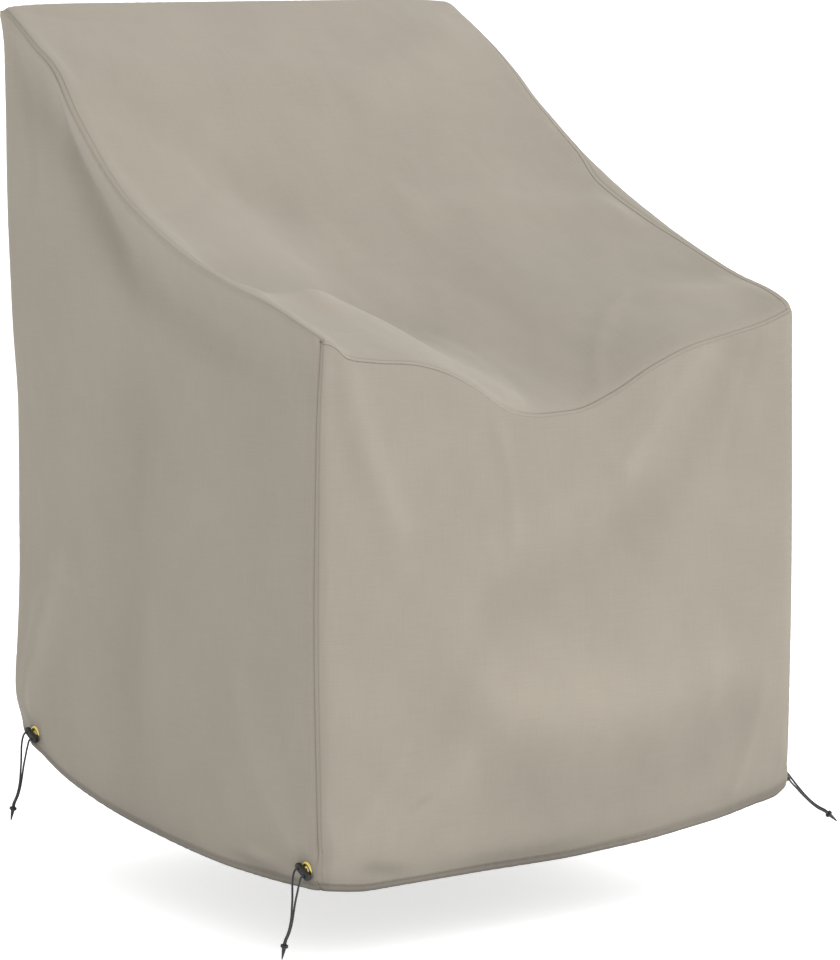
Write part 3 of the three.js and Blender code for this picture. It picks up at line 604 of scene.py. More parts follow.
    def round_edges(self, points: Array, move: Array) -> None:
        """Adds the rounding of every edge, by the distance from it, towards the inside.

        Args:
            points: Points of the flat-sided form.
            move: Their moves so far, added to.
        """
        x, y, z = np.moveaxis(points, -1, 0)
        depth, top = self.depth, self.top_height
        edges = []
        for end, front in ((-1, 4), (1, 2.8)):
            within = self.half_width - end * x
            over = np.maximum(0, self.slope_height(end, y) - z)
            edges += [
                (np.hypot(within, y), (end, -1, 0), front, 18),
                (np.hypot(within, depth - y), (end, 1, 0), 5 * clamp((top - z) / 50), 20),
                (np.hypot(within, over), (end, 0, 1), 3, 16),
            ]
        below_front, below_top = np.maximum(0, self.front_height(x) - z), np.maximum(0, top - z)
        edges += [
            (np.hypot(y, below_front), (0, -1, 1), 2.5, 14),
            (np.hypot(depth - y, below_top), (0, 1, 1), 5, 22),
        ]
        for distance, way, amount, reach in edges:
            move -= self.rounding(distance, amount, reach)[..., None] * np.array(way)

    def draw_corners(self, points: Array, move: Array) -> None:
        """Adds the pull of the ties on the lower corners: a bell curve round each, low down.

        Args:
            points: Points of the flat-sided form.
            move: Their moves so far, added to.
        """
        x, y, z = np.moveaxis(points, -1, 0)
        for tie in TIES:
            corner, way = (0, 1) if tie.back < self.depth / 2 else (self.depth, -1)
            distance = np.hypot(x - tie.side * self.half_width, y - corner)
            near = bell(distance, self.corner_reach)
            low = clamp(1 - (z - self.side_hem(tie.side, corner)) / tie.up_to) ** 2
            move[..., 0] -= tie.side * tie.from_side * near * low
            move[..., 1] += way * tie.from_end * near * low

    def curl(self, height: Array) -> Array:
        """How far the hem has turned in: the square of what is left of the height over it."""
        return clamp(1 - height / self.curl_height) ** 2

    @staticmethod
    def rounding(distance: Array, amount: Array, reach: float) -> Array:
        """Pull of a wide rounding and a small one inside it, each falling with a square."""
        wide = amount * clamp(1 - distance / reach) ** 2
        return wide + 0.3 * amount * clamp(1 - distance / (0.4 * reach)) ** 2

    def flatten(self, points: Array, within: Array) -> Array:
        """Lays the cloth upright and flat round each eyelet.

        Args:
            points: Draped points.
            within: How far inside the side of the flat-sided form each point started.

        Returns:
            The points, moved across the width to the eyelet's plane by a smooth share.
        """
        x, y, z = np.moveaxis(points, -1, 0)
        flat, level = x.copy(), ease(1 - within / self.level_within)
        for tie in TIES:
            out, back, up = self.eyelet_centres[tie.name]
            left = tie.flat + self.level_fade - np.hypot(y - back, z - up)
            near = ease(left / self.level_fade) * level
            flat += np.where(x * out > 0, near, 0) * (out - flat)
        return np.stack([flat, y, z], axis=-1)

    def outer(self, panel: PanelName, u: Array, v: Array) -> Array:
        """Outer face of a panel before its seams and creases.

        A wall's second coordinate is a height. A side panel's goes on past the edge by the
        distance across its lap, which lies on the main panel's surface.

        Args:
            panel: The panel.
            u: First coordinates.
            v: Second coordinates.

        Returns:
            Points in the cutter's frame.
        """
        if panel is PanelName.MAIN:
            x, y, z = u, v, self.main_height(u, v)
        elif panel.side == 0:
            y = np.full(np.shape(u), 0.0 if panel is PanelName.FRONT else self.depth)
            x, z = u, v
        else:
            over = np.maximum(0, v - self.slope_height(panel.side, u))
            x, y = panel.side * (self.half_width - over), u
            z = np.where(over > 0, self.main_height(x, y), v)
        draped = self.drape(np.stack([x, y, z], axis=-1), panel)
        return self.flatten(draped, self.half_width - np.abs(x))

    def normals(self, panel: PanelName, u: Array, v: Array) -> Array:
        """Directions out of the cloth: the cross product of the surface's two slopes.

        Args:
            panel: The panel.
            u: First coordinates.
            v: Second coordinates.

        Returns:
            Vectors of length 1.
        """
        step = 0.6
        along = self.outer(panel, u + step, v) - self.outer(panel, u - step, v)
        up = self.outer(panel, u, v + step) - self.outer(panel, u, v - step)
        normal = unit(np.cross(along, up))
        turned = panel in (PanelName.BACK, PanelName.LEFT)
        return -normal if turned else normal


class EdgeKind(Enum):
    """How a panel ends at an edge: sewn on top of its neighbour, under it, or hemmed."""

    COVERING = "covering"
    COVERED = "covered"
    HEM = "hem"


@dataclass(frozen=True)
class SeamSizes:
    """Sizes of the sewn edges in millimetres, all measured from the edge.

    Fade is how far a folded layer takes to level out, row_width half the width of the groove
    that a row of stitches makes, pucker the length of a pucker, puckers their heights at a hem, a
    covering edge and a covered one, and a rim the rounding of the cloth's last part.
    """

    gap: float = 0.05
    width: float = 6.9
    lift: float = 0.4
    fade: float = 2.4
    dip: float = 0.15
    row: float = 5.2
    row_width: float = 0.6
    groove: float = 0.2
    hem_width: float = 9.2
    hem_lift: float = 0.45
    hem_row: float = 6.8
    hem_groove: float = 0.3
    hem_layer: float = 1.0
    pucker: float = 11.8
    puckers: Triple = (0.3, 0.2, 0.26)
    rim: float = 0.3
    hem_rim: float = 0.9


@dataclass(frozen=True)
class PaintedShadeShares:
    """Shares of painted light and shade, by which the cloth is painted lighter or darker than where
    it is plain.

    Rise is the painted highlight on a ridge and the painted shade in a hollow for each millimetre
    of a fold's height, slope the painted highlight below the slope's edge, above_hem and its swing
    the painted shade over the hem, hem and hem_swing the painted shade on the hem itself, and sewn
    the painted shade in the lines of the seams.
    """

    rise: float = 0.008
    slope: float = 0.12
    above_hem: float = 0.17
    swing: float = 0.05
    hem: float = 0.28
    hem_swing: float = 0.1
    sewn: float = 0.4


@dataclass(frozen=True)
class EdgeRow:
    """One edge of a panel: its kind, and for each place the distance to it and along it.

    Line is how dark the edge's line is painted as shade, and row how deep the groove of its
    stitches is and how dark that is painted as shade. Step is the share of its height that a
    covering edge has.
    """

    kind: EdgeKind
    away: Array
    along: Array
    line: Array | float = 1.0
    row: Array | float = 1.0
    step: float = 1.0

    def layer(self, seams: SeamSizes) -> Array:
        """Height of the folded layer at a covering edge: a smooth step down past its width."""
        return seams.lift * self.step * (1 - ease((self.away - seams.width) / seams.fade))


# Distances of the sheets' vertices from their edges, from eyelets and from the hem
SEWN_STEPS = (0.05, 0.12, 0.22, 0.4, 0.7, 1.1, 1.8, 2.8, 3.8, 4.6, 5.2, 5.8, 6.6, 7.6, 9.2, 11.4)
SWEPT_STEPS = (*SEWN_STEPS, 13.6, 16.4, 20, 24.5, 30)
EYELET_STEPS = (13, 15.2, 17.4, 19.6, 21.8, 24, 26.2, 28.6, 31.5, 35.5, 40)
REAR_EYELET_STEPS = (14, 17.5, 22, 27, 32, 36.5, 39.5, 41.7, 43.9, 46.1, 48.3, 50.5, 52.7, 54.9)
HEM_STEPS = (0, 0.14, 0.4, 0.9, 1.7, 2.8, 4.2, 5.4, 6.2, 6.8, 7.4, 8.2, 9.2, 10.0, 10.8, 11.8)


@dataclass
class ClothPanel:
    """One sewn panel: its outer face, its sewn edges and hem, and the closed sheet they make."""

    name: PanelName
    form: CoverForm
    wave_seed: int
    seams: SeamSizes = SeamSizes()
    shade: PaintedShadeShares = PaintedShadeShares()
    cloth: float = 0.9
    thinnest: float = 0.12
    step: float = 5.4
    eyelet_hole: float = 5.3
    gather: float = 0.9
    gathers_round: int = 6
    wave_rise: float = 0.00144
    wave_count: int = 26
    wave_lengths: Couple = (26.0, 260.0)
    stitch_places: int = 900

    @property
    def side(self) -> int:
        """Side of the cover that the panel is on."""
        return self.name.side

    @property
    def at_depth(self) -> float:
        """Depth at which the front or the back panel stands."""
        return 0.0 if self.name is PanelName.FRONT else self.form.depth

    def hem(self, u: Array) -> Array:
        """Height of a wall's hem."""
        form, wall = self.form, "front" if self.name is PanelName.FRONT else "back"
        return form.side_hem(self.side, u) if self.side else read(HEM_ACROSS, "across", wall, u)

    def top(self, u: Array) -> Array:
        """Second coordinate of a wall's upper edge: its height, and on a side the lap as well."""
        form = self.form
        return form.lap_top(self.side, u) if self.side else form.main_height(u, self.at_depth)

    def lean(self, u: Array) -> Array:
        """How much longer a step down from the upper edge is than its distance from it."""
        slope = (self.top(u + 1) - self.top(u - 1)) / 2
        return np.sqrt(1 + slope**2)

    def edges(self, u: Array, v: Array) -> list[EdgeRow]:
        """The panel's four edges, in the order start, end, lower and upper.

        Args:
            u: First coordinates.
            v: Second coordinates.

        Returns:
            One row for each edge.
        """
        form, half, depth = self.form, self.form.half_width, self.form.depth
        if self.name is PanelName.MAIN:
            away = [half - form.lap_width(end, v) - end * u for end in (-1, 1)]
            lines = [read_side(SLOPE_SEAM, end, v, "line_") for end in (-1, 1)]
            lines += [read(FRONT_SEAM, "across", "line", u), 0.6]
            rows = zip((*away, v, depth - v), (v, v, u, u), lines)
            return [EdgeRow(EdgeKind.COVERED, *row) for row in rows]
        kind, start, stop, step = EdgeKind.COVERING, -half, half, 1.0
        # How dark the seams' lines are painted as shade, and how deep their stitch grooves are and
        # how dark they are painted as shade
        looks = [0.6, 0.6]
        if self.side:
            kind, start, stop, step = EdgeKind.COVERED, 0.0, depth, 0.45
            looks = [read_side(SLOPE_SEAM, self.side, u, look) for look in ("line_", "row_")]
        elif self.name is PanelName.FRONT:
            looks = [read(FRONT_SEAM, "across", look, u) for look in ("line", "row")]
        ends = [EdgeRow(kind, away, v, 0.3, 0.3, 0.45) for away in (u - start, stop - u)]
        below_top = (self.top(u) - v) / self.lean(u)
        upper = EdgeRow(EdgeKind.COVERING, below_top, u, *looks, step)
        return [*ends, EdgeRow(EdgeKind.HEM, v - self.hem(u), u), upper]

    def neighbours(self, u: Array, v: Array) -> list[Array | None]:
        """Directions out of the neighbours' cloth on the panel's four boundary lines.

        Args:
            u: First coordinates of the grid.
            v: Second coordinates of the grid.

        Returns:
            An array of vectors for each edge in the order of edges(), or None at a hem.
        """
        form, normals, half = self.form, self.form.normals, self.form.half_width
        sides = (PanelName.LEFT, PanelName.RIGHT)
        walls = ((PanelName.FRONT, 0.0), (PanelName.BACK, form.depth))
        found, ends, last = [], (v[0], v[-1]), u[:, -1]
        if self.name is PanelName.MAIN:
            for s, line in zip(sides, ends):
                found.append(normals(s, line, form.lap_top(s.side, line)))
            for (wall, depth), line in zip(walls, (u[:, 0], last)):
                found.append(normals(wall, line, form.main_height(line, depth)))
            return found
        if self.side:
            for (wall, depth), line in zip(walls, ends):
                edge = form.slope_height(self.side, depth)
                across = self.side * (half - np.maximum(0, line - edge))
                found.append(normals(wall, across, np.minimum(line, edge)))
            across = self.side * (half - form.lap_width(self.side, last))
            return [*found, None, normals(PanelName.MAIN, across, last)]
        for s, line in zip(sides, ends):
            found.append(normals(s, np.full(line.shape, self.at_depth), line))
        depth, inside = np.full(last.shape, self.at_depth), half - np.abs(last)
        above = normals(PanelName.MAIN, last, depth)
        for s in sides:
            lapped = (np.sign(last) == s.side) & (inside < form.lap_width(s.side, depth))
            lap = form.slope_height(s.side, depth) + inside
            above = np.where(lapped[:, None], normals(s, depth, lap), above)
        return [*found, None, above]

    def waves(self, u: Array, v: Array) -> Array:
        """Low swells all over the cloth: plane waves whose height grows with their length.

        Args:
            u: First coordinates.
            v: Second coordinates.

        Returns:
            The height at each place.
        """
        rng = np.random.default_rng(self.wave_seed)
        total = np.zeros(np.shape(u))
        for length in np.geomspace(*self.wave_lengths, self.wave_count):
            angle, phase = rng.uniform(0, 2 * np.pi, 2)
            turn = (u * math.cos(angle) + v * math.sin(angle)) * 2 * np.pi / length + phase
            total += self.wave_rise * length * np.sin(turn + 0.8 * np.sin(turn / 2.3 + phase))
        return total

    def eyelet_distance(self, u: Array, v: Array) -> Array:
        """Distance to the nearest eyelet on a side panel.

        Args:
            u: First coordinates.
            v: Second coordinates.

        Returns:
            The distance at each place, very large on a panel without eyelets.
        """
        nearest = np.full(np.shape(u), 1e3)
        for tie in TIES:
            if self.side == tie.side:
                away = np.hypot(u - tie.back, v - self.form.eyelet_height(tie))
                nearest = np.minimum(nearest, away)
        return nearest

    def gathers(self, u: Array, v: Array) -> Array:
        """Small folds that run out from each tie: a cosine of the angle, in a ring round it.

        Args:
            u: First coordinates.
            v: Second coordinates.

        Returns:
            The height at each place.
        """
        total = np.zeros(np.shape(u))
        for k, tie in enumerate(TIES):
            du, dv = u - tie.back, v - self.form.eyelet_height(tie)
            if self.side == 0:
                round_corner = abs(self.at_depth - tie.back)
                du = np.abs(tie.side * self.form.half_width - u) + round_corner
                if round_corner >= self.form.depth / 2:
                    continue
            elif self.side != tie.side:
                continue
            radius, angle = np.hypot(du, dv), np.arctan2(dv, du)
            ring = ease((radius - 11) / 12) * bell(np.maximum(0, radius - 22), 30)
            total += self.gather * np.cos(self.gathers_round * angle + 1.1 * k) * ring
        return total

    def relief(self, u: Array, v: Array) -> Array:
        """Height of everything that is sewn or creased, out from the smooth outer face.

        A covering edge is raised by a folded layer over the seam's width, with a groove at each
        row of stitches. A covered edge dips. The hem is a raised roll with one groove. Puckers
        run across each edge and die away from it. The rims are rounded off.

        Args:
            u: First coordinates.
            v: Second coordinates.

        Returns:
            The height at each place.
        """
        s, edges = self.seams, self.edges(u, v)
        nearest = np.minimum.reduce([edge.away for edge in edges])
        at_hem, covering, covered = s.puckers
        calm = ease((self.eyelet_distance(u, v) - 11) / 9)
        total = self.waves(u, v) * ease(nearest / 26)
        total += sum(fold.height(u, v) for fold in CREASES[self.name]) * ease(nearest / 9)
        total = (total + self.gathers(u, v) * ease(nearest / 5)) * calm
        for k, edge in enumerate(edges):
            away, along = edge.away, 2 * np.pi * edge.along
            turn = along / s.pucker + 1.9 * np.sin(along / 71 + k)
            swell = 0.55 + 0.45 * np.sin(along / 173 + 2 * k)
            if edge.kind is EdgeKind.HEM:
                total += s.hem_lift * (1 - ease((away - s.hem_width) / 1.2)) * calm
                total -= s.hem_groove * bell(away - s.hem_row, s.row_width)
                total += at_hem * np.sin(turn * 0.7) * swell * np.exp(-away / 15) * calm
            elif edge.kind is EdgeKind.COVERING:
                total += edge.layer(s)
                total -= s.groove * np.minimum(edge.row, 1) * bell(away - s.row, s.row_width)
                total += covering * np.sin(turn) * swell * np.exp(-np.abs(away - 5) / 8)
            else:
                total -= s.dip * edge.step * (1 - ease((away - s.gap) / 3))
                total += covered * np.sin(turn) * swell * np.exp(-away / 9) * ease(away / 2)
        return total - self.rounded_off(edges)

    def tone_and_painted_shade(self, u: Array, v: Array) -> Array:
        """Factor of painted light and shade on the cloth's colour: 1 where it is plain.

        Painted shade darkens the sewn lines and the hollows, the hem and a little above it, and a
        painted highlight lightens the ridges and the cloth below the edge of the slope.

        Args:
            u: First coordinates.
            v: Second coordinates.

        Returns:
            The factor of painted light and shade for the cloth's colour at each place.
        """
        s, shade, edges = self.seams, self.shade, self.edges(u, v)
        ground = np.ones(np.shape(u))
        # Painted highlight along each fold's ridge and painted shade along its hollow, by rise and
        # tint
        for fold in (*FOLDS[self.name], *CREASES[self.name]):
            ground += (shade.rise * fold.rise + fold.tint) * fold.profile(u, v)
        # Painted highlight on a side panel just below the slope's edge
        if self.side:
            below = edges[3].away - self.form.lap_width(self.side, u)
            fall = np.exp(-np.maximum(0, below) / 24)
            ground *= 1 + shade.slope * ease(below / 3 + 0.5) * fall
        # Painted shade above and on the hem, along its stitch row and lower edge, and in the seams'
        # lines and stitch grooves
        sewn = []
        for k, edge in enumerate(edges):
            if edge.kind is EdgeKind.HEM:
                over, turn = edge.away - s.hem_width, 2 * np.pi * edge.along / 310
                swell = shade.above_hem + shade.swing * np.sin(turn + k + self.side)
                ground *= 1 - swell * np.exp(-np.maximum(0, over) / 18)
                plain = ease((u + 60) / 260) if self.name is PanelName.FRONT else 0.3
                band = 1 - ease((over + 0.6) / (1.2 + 6 * plain))
                ground *= 1 - (shade.hem - shade.hem_swing * plain) * band
                sewn.append((0.9 - 0.6 * plain) * bell(edge.away - s.hem_row, 0.7))
                sewn.append(1.3 * bell(edge.away, 2.3))
            elif edge.kind is EdgeKind.COVERED:
                sewn.append(edge.line * bell(edge.away, 0.6))
            else:
                sewn.append(edge.line * bell(edge.away, 0.5))
                sewn.append(edge.row * bell(edge.away - s.row, 0.55))
        return ground * (1 - shade.sewn * np.maximum.reduce(sewn))

    def rounded_off(self, edges: list[EdgeRow]) -> Array:
        """Drop of the outer face to the rim: a quarter circle over the last part of an edge.

        Args:
            edges: The panel's edges.

        Returns:
            The drop at each place.
        """
        s, drop = self.seams, np.zeros(np.shape(edges[0].away))
        for edge in edges:
            radius, start = (s.hem_rim, 0.0) if edge.kind is EdgeKind.HEM else (s.rim, s.gap)
            share = clamp(1 - (edge.away - start) / radius)
            drop = np.maximum(drop, radius * (1 - np.sqrt(1 - share**2)))
        return drop

    def thickness(self, u: Array, v: Array) -> Array:
        """Thickness of the cloth: two layers at covering edges and hems, rounded at the rim.

        Args:
            u: First coordinates.
            v: Second coordinates.

        Returns:
            The thickness at each place.
        """
        s, edges = self.seams, self.edges(u, v)
        total = np.full(np.shape(u), self.cloth)
        for edge in edges:
            if edge.kind is EdgeKind.COVERING:
                total += edge.layer(s)
            elif edge.kind is EdgeKind.HEM:
                total += s.hem_layer * (1 - ease(edge.away - s.hem_width))
        return np.maximum(total - 1.9 * self.rounded_off(edges), self.thinnest)

    def surface(self, u: Array, v: Array) -> Pair:
        """Points of the finished outer face in the cutter's frame, and the directions out."""
        normal = self.form.normals(self.name, u, v)
        return self.form.outer(self.name, u, v) + normal * self.relief(u, v)[..., None], normal

    def grid(self) -> Pair:
        """Places of the sheet's vertices: close together at edges and eyelets, even between.

        The main panel's rows differ in length, so they are stretched away from its edges.

        Returns:
            First and second coordinates, each an array of columns by rows.
        """
        form, half = self.form, self.form.half_width
        if self.name is PanelName.MAIN:
            v = stations(form.depth, SWEPT_STEPS, SWEPT_STEPS, self.step)
            left, right = (end * (half - form.lap_width(end, v)) for end in (-1, 1))
            width, exact = float(np.mean(right - left)), SWEPT_STEPS[-1]
            share = stations(width, SWEPT_STEPS, SWEPT_STEPS, self.step)[:, None]
            width = share[0] + share[-1]
            part = ease((share - exact) / (width - 2 * exact))
            u = left + share + part * (right - left - width)
            return u, np.broadcast_to(v, u.shape)
        if self.side:
            start, end = (*SEWN_STEPS, *EYELET_STEPS), (*SEWN_STEPS, *REAR_EYELET_STEPS)
            u = stations(form.depth, start, end, self.step)
        else:
            u = stations(2 * half, SWEPT_STEPS, SWEPT_STEPS, self.step) - half
        low, high, lean = (edge(u)[:, None] for edge in (self.hem, self.top, self.lean))
        below, above = np.array((*HEM_STEPS, *EYELET_STEPS)), np.array(SWEPT_STEPS)[::-1]
        first, last = low + below[-1], high - above[0] * lean
        count = int(np.mean(last - first) / self.step)
        even = first + (last - first) * np.arange(1, count) / count
        v = np.concatenate([low + below, even, high - above * lean], axis=1)
        return np.broadcast_to(u[:, None], v.shape), v

    def inward(self, u: Array, v: Array, normal: Array) -> Array:
        """Step to the inner face: against the normal, and at a seam against the mean of both.

        Args:
            u: First coordinates.
            v: Second coordinates.
            normal: Directions out of the cloth.

        Returns:
            Vectors that bring a point in by one unit of thickness.
        """
        step = -normal.copy()
        lines = (np.s_[0, :], np.s_[-1, :], np.s_[:, 0], np.s_[:, -1])
        for edge, line, other in zip(self.edges(u, v), lines, self.neighbours(u, v)):
            if other is None:
                continue
            own = normal[line]
            mean = unit(own + other)
            least = np.maximum(0.5, (mean * own).sum(-1, keepdims=True))
            change = -mean / least - step[line]
            near = (1 - ease((edge.away - self.seams.gap) / 4))[..., None]
            step += near * (change[None] if line[0] != np.s_[:] else change[:, None])
        return step

    def cut_places(self, u: Array, v: Array) -> Array:
        """Places on the flat cut, with the main panel's depth measured up its slope.

        Args:
            u: First coordinates.
            v: Second coordinates.

        Returns:
            Two coordinates in metres for each place.
        """
        if self.name is PanelName.MAIN:
            depth = np.linspace(0, self.form.depth, 400)
            left, right = (self.form.slope_height(side, depth) for side in (-1, 1))
            v = np.interp(v, depth, run_along(np.stack([depth, (left + right) / 2], axis=-1)))
        return np.stack([u, v], axis=-1) * METRE

    def build(self) -> Object:
        """The closed sheet of cloth, pierced where the eyelets go through it.

        Returns:
            The panel's object, with the cut's places as its UV map, an attribute that is 1 on
            the inner face, and one that holds the painted light and shade of the cloth's colour.
        """
        u, v = self.grid()
        outer, normal = self.surface(u, v)
        inner = outer + self.inward(u, v, normal) * self.thickness(u, v)[..., None]
        middle = self.eyelet_distance(u, v) < self.eyelet_hole
        keep = ~(middle[:-1, :-1] | middle[1:, :-1] | middle[1:, 1:] | middle[:-1, 1:])
        points, quads = closed_sheet(outer, inner, keep)
        cut = self.cut_places(u, v).reshape(-1, 2)
        values = {
            "inside": np.repeat([0.0, 1.0], len(cut)),
            # Painted light and shade of the cloth's colour
            "tone_and_painted_shade": np.tile(self.tone_and_painted_shade(u, v).ravel(), 2),
        }
        name = f"{self.name.value}_cloth"
        return PieceMesh(name, points, quads, np.tile(cut, (2, 1)), values).build()

    def stitch_rows(self) -> list[Pair]:
        """Lines of the panel's stitching, as places on its outer face.

        Returns:
            First and second coordinates along each row.
        """
        if self.name is PanelName.MAIN:
            return []
        count, row = self.stitch_places, self.seams.row
        far = self.form.depth if self.side else self.form.half_width
        near = 0.0 if self.side else -far
        u = np.linspace(near + 1.5, far - 1.5, count)
        rows = [(u, self.top(u) - row * self.lean(u)), (u, self.hem(u) + self.seams.hem_row)]
        if not self.side:
            for end in (-1, 1):
                edge = np.full(count, end * (far - row))
                low, high = self.hem(edge) + 2.5, self.top(edge) - 1.0
                rows.append((edge, low + (high - low) * np.linspace(0, 1, count)))
        return rows


def stations(length: float, start: Row, end: Row, step: float) -> Array:
    """Places along a length: set distances from both ends and even steps between.

    Args:
        length: Whole length.
        start: Distances from the beginning, rising.
        end: Distances from the end, rising.
        step: About how far apart the even steps are.

    Returns:
        The places, rising.
    """
    span = length - start[-1] - end[-1]
    count = max(2, round(span / step))
    even = start[-1] + span * np.arange(1, count) / count
    return np.concatenate([start, even, length - np.array(end)[::-1]])


def closed_sheet(outer: Array, inner: Array, keep: Array) -> Pair:
    """Closed skin from an outer and an inner grid, walled up wherever a kept cell ends.

    Args:
        outer: Points of the outer face, columns by rows by 3.
        inner: Points of the inner face, of the same shape.
        keep: Which cells of the grid hold cloth.

    Returns:
        Points, and the corners of the four-sided faces.
    """
    index = np.arange(outer[..., 0].size).reshape(outer.shape[:2])
    a, b, c, d = index[:-1, :-1], index[1:, :-1], index[1:, 1:], index[:-1, 1:]
    under, padded = index.size, np.pad(keep, 1)
    faces = [np.stack([a, b, c, d], -1)[keep], np.stack([a, d, c, b], -1)[keep] + under]
    sides = (
        (a, b, padded[1:-1, :-2]), (b, c, padded[2:, 1:-1]),
        (c, d, padded[1:-1, 2:]), (d, a, padded[:-2, 1:-1]),
    )
    for p, q, next_to in sides:
        bare = keep & ~next_to
        faces.append(np.stack([q, p, p + under, q + under], -1)[bare])
    return np.concatenate([outer, inner]).reshape(-1, 3), np.concatenate(faces)


@dataclass
class PieceMesh:
    """Arrays of one piece, and the object they make.

    Points are in the cutter's frame. Quads may have their last corner repeated to stand for a
    triangle. Places are the UV map's, and values the attributes by name, all for each point.
    """

    name: str
    points: Array
    quads: Array
    places: Array | None = None
    values: dict[str, Array] = field(default_factory=dict)

    def volume(self) -> float:
        """Space inside the faces, six times over: negative when they face inwards."""
        a, b, c, d = (self.points[self.quads[:, k]] for k in range(4))
        return float((a * np.cross(b, c)).sum() + (a * np.cross(c, d)).sum())

    def build(self) -> Object:
        """Writes the arrays into a mesh with smooth faces that face out, in the row frame.

        Returns:
            The mesh's object, linked to the scene.
        """
        used = np.unique(self.quads)
        renumber = np.zeros(len(self.points), int)
        renumber[used] = np.arange(len(used))
        quads = renumber[self.quads]
        if self.volume() < 0:
            quads = quads[:, [1, 0, 3, 2]]
        sizes = np.where(quads[:, 3] == quads[:, 2], 3, 4)
        loops = quads[np.arange(4) < sizes[:, None]]
        starts = np.concatenate([[0], np.cumsum(sizes)[:-1]])
        mesh = bpy.data.meshes.new(self.name)
        mesh.vertices.add(len(used))
        points = in_row_frame(self.points[used])
        mesh.vertices.foreach_set("co", points.astype(np.float32).ravel())
        mesh.loops.add(len(loops))
        mesh.loops.foreach_set("vertex_index", loops.astype(np.int32))
        mesh.polygons.add(len(quads))
        mesh.polygons.foreach_set("loop_start", starts.astype(np.int32))
        mesh.polygons.foreach_set("use_smooth", np.ones(len(quads), bool))
        if self.places is not None:
            layer = mesh.uv_layers.new(name="Cut")
            layer.data.foreach_set("uv", self.places[used][loops].astype(np.float32).ravel())
        for name, value in self.values.items():
            attribute = mesh.attributes.new(name, "FLOAT", "POINT")
            attribute.data.foreach_set("value", value[used].astype(np.float32))
        mesh.update(calc_edges=True)
        mesh.validate()
        return linked(self.name, mesh)


def linked(name: str, data: bpy.types.ID) -> Object:
    """Makes an object and links it to the scene.

    Args:
        name: Name of the object.
        data: Its mesh, camera or light.

    Returns:
        The object.
    """
    made = bpy.data.objects.new(name, data)
    bpy.context.scene.collection.objects.link(made)
    return made


def ring_quads(rings: int, sides: int, closed: bool) -> Array:
    """Faces between rings of points that follow each other.

    Args:
        rings: Number of rings.
        sides: Points in each ring.
        closed: Whether the last ring joins the first.

    Returns:
        Corners of the faces.
    """
    i = np.arange(rings if closed else rings - 1)[:, None]
    j = np.arange(sides)[None]
    low, high = i * sides, (i + 1) % rings * sides
    after = (j + 1) % sides
    return np.stack([low + j, low + after, high + after, high + j], -1).reshape(-1, 4)


def capped_quads(rings: int, sides: int) -> Array:
    """Faces between rings, and fans to a pole after the last ring at each end.

    The first pole's number is rings times sides, the last pole's is one more.

    Args:
        rings: Number of rings.
        sides: Points in each ring.

    Returns:
        Corners of the faces, with a triangle's last corner repeated.
    """
    j = np.arange(sides)
    after, pole = (j + 1) % sides, np.full(sides, rings * sides)
    last = (rings - 1) * sides
    first_fan = np.stack([after, j, pole, pole], -1)
    last_fan = np.stack([last + j, last + after, pole + 1, pole + 1], -1)
    return np.concatenate([ring_quads(rings, sides, False), first_fan, last_fan])


def natural_curve(points: Array, count: int) -> Array:
    """Smooth curve through points: cubics over the chords' length whose bend never jumps.

    Args:
        points: The points to pass.
        count: Number of points on the curve, evenly spaced along it.

    Returns:
        The curve's points.
    """
    at, size = run_along(points), len(points)
    step = np.diff(at)
    matrix, right = np.eye(size), np.zeros_like(points)
    k = np.arange(1, size - 1)
    matrix[k, k - 1], matrix[k, k + 1] = step[:-1], step[1:]
    matrix[k, k] = 2 * (step[:-1] + step[1:])
    chord = np.diff(points, axis=0) / step[:, None]
    right[1:-1] = 6 * np.diff(chord, axis=0)
    bend = np.linalg.solve(matrix, right)
    place = np.linspace(0, at[-1], count * 4)
    i = np.clip(np.searchsorted(at, place) - 1, 0, size - 2)
    a, b, h = (row[:, None] for row in (at[i + 1] - place, place - at[i], step[i]))
    curve = (bend[i] * a**3 + bend[i + 1] * b**3) / (6 * h)
    curve += (points[i] / h - bend[i] * h / 6) * a
    curve += (points[i + 1] / h - bend[i + 1] * h / 6) * b
    run = run_along(curve)
    return points_at(np.linspace(0, run[-1], count), run, curve)


def cut_corners(profile: Array, times: int, closed: bool) -> Array:
    """Profile with its corners cut a quarter of the way along each side, some times over.

    Args:
        profile: Points of the profile.
        times: How often to cut.
        closed: Whether the profile is a loop; an open one keeps its two end points.

    Returns:
        The smoother profile.
    """
    for _ in range(times):
        after = np.roll(profile, -1, axis=0)
        pairs = np.stack([0.75 * profile + 0.25 * after, 0.25 * profile + 0.75 * after], axis=1)
        cut = pairs.reshape(-1, profile.shape[1])
        profile = cut if closed else np.concatenate([profile[:1], cut[:-2], profile[-1:]])
    return profile


def lathe(profile: Array, sides: int, start: Array, axis: Array, poles: bool) -> Pair:
    """Turned shape: each profile point goes round the axis at its radius.

    Args:
        profile: Rows of radius and distance along the axis; with poles, without the two ends'
            points of radius 0.
        sides: Points round the axis.
        start: Where the axis begins.
        axis: Its direction, of length 1.
        poles: Whether both ends close in a pole; otherwise the last ring joins the first.

    Returns:
        Points, and corners of the faces.
    """
    aside = unit(np.cross(axis, [0.31, 0.92, 0.22]))
    angle = np.arange(sides) * 2 * np.pi / sides
    round_it = np.cos(angle)[:, None] * aside + np.sin(angle)[:, None] * np.cross(axis, aside)
    rings = profile[:, :1, None] * round_it + profile[:, 1:, None] * axis
    points = rings.reshape(-1, 3) + start
    if not poles:
        return points, ring_quads(len(profile), sides, True)
    ends = start + profile[[0, -1], 1:] * axis
    return np.concatenate([points, ends]), capped_quads(len(profile), sides)


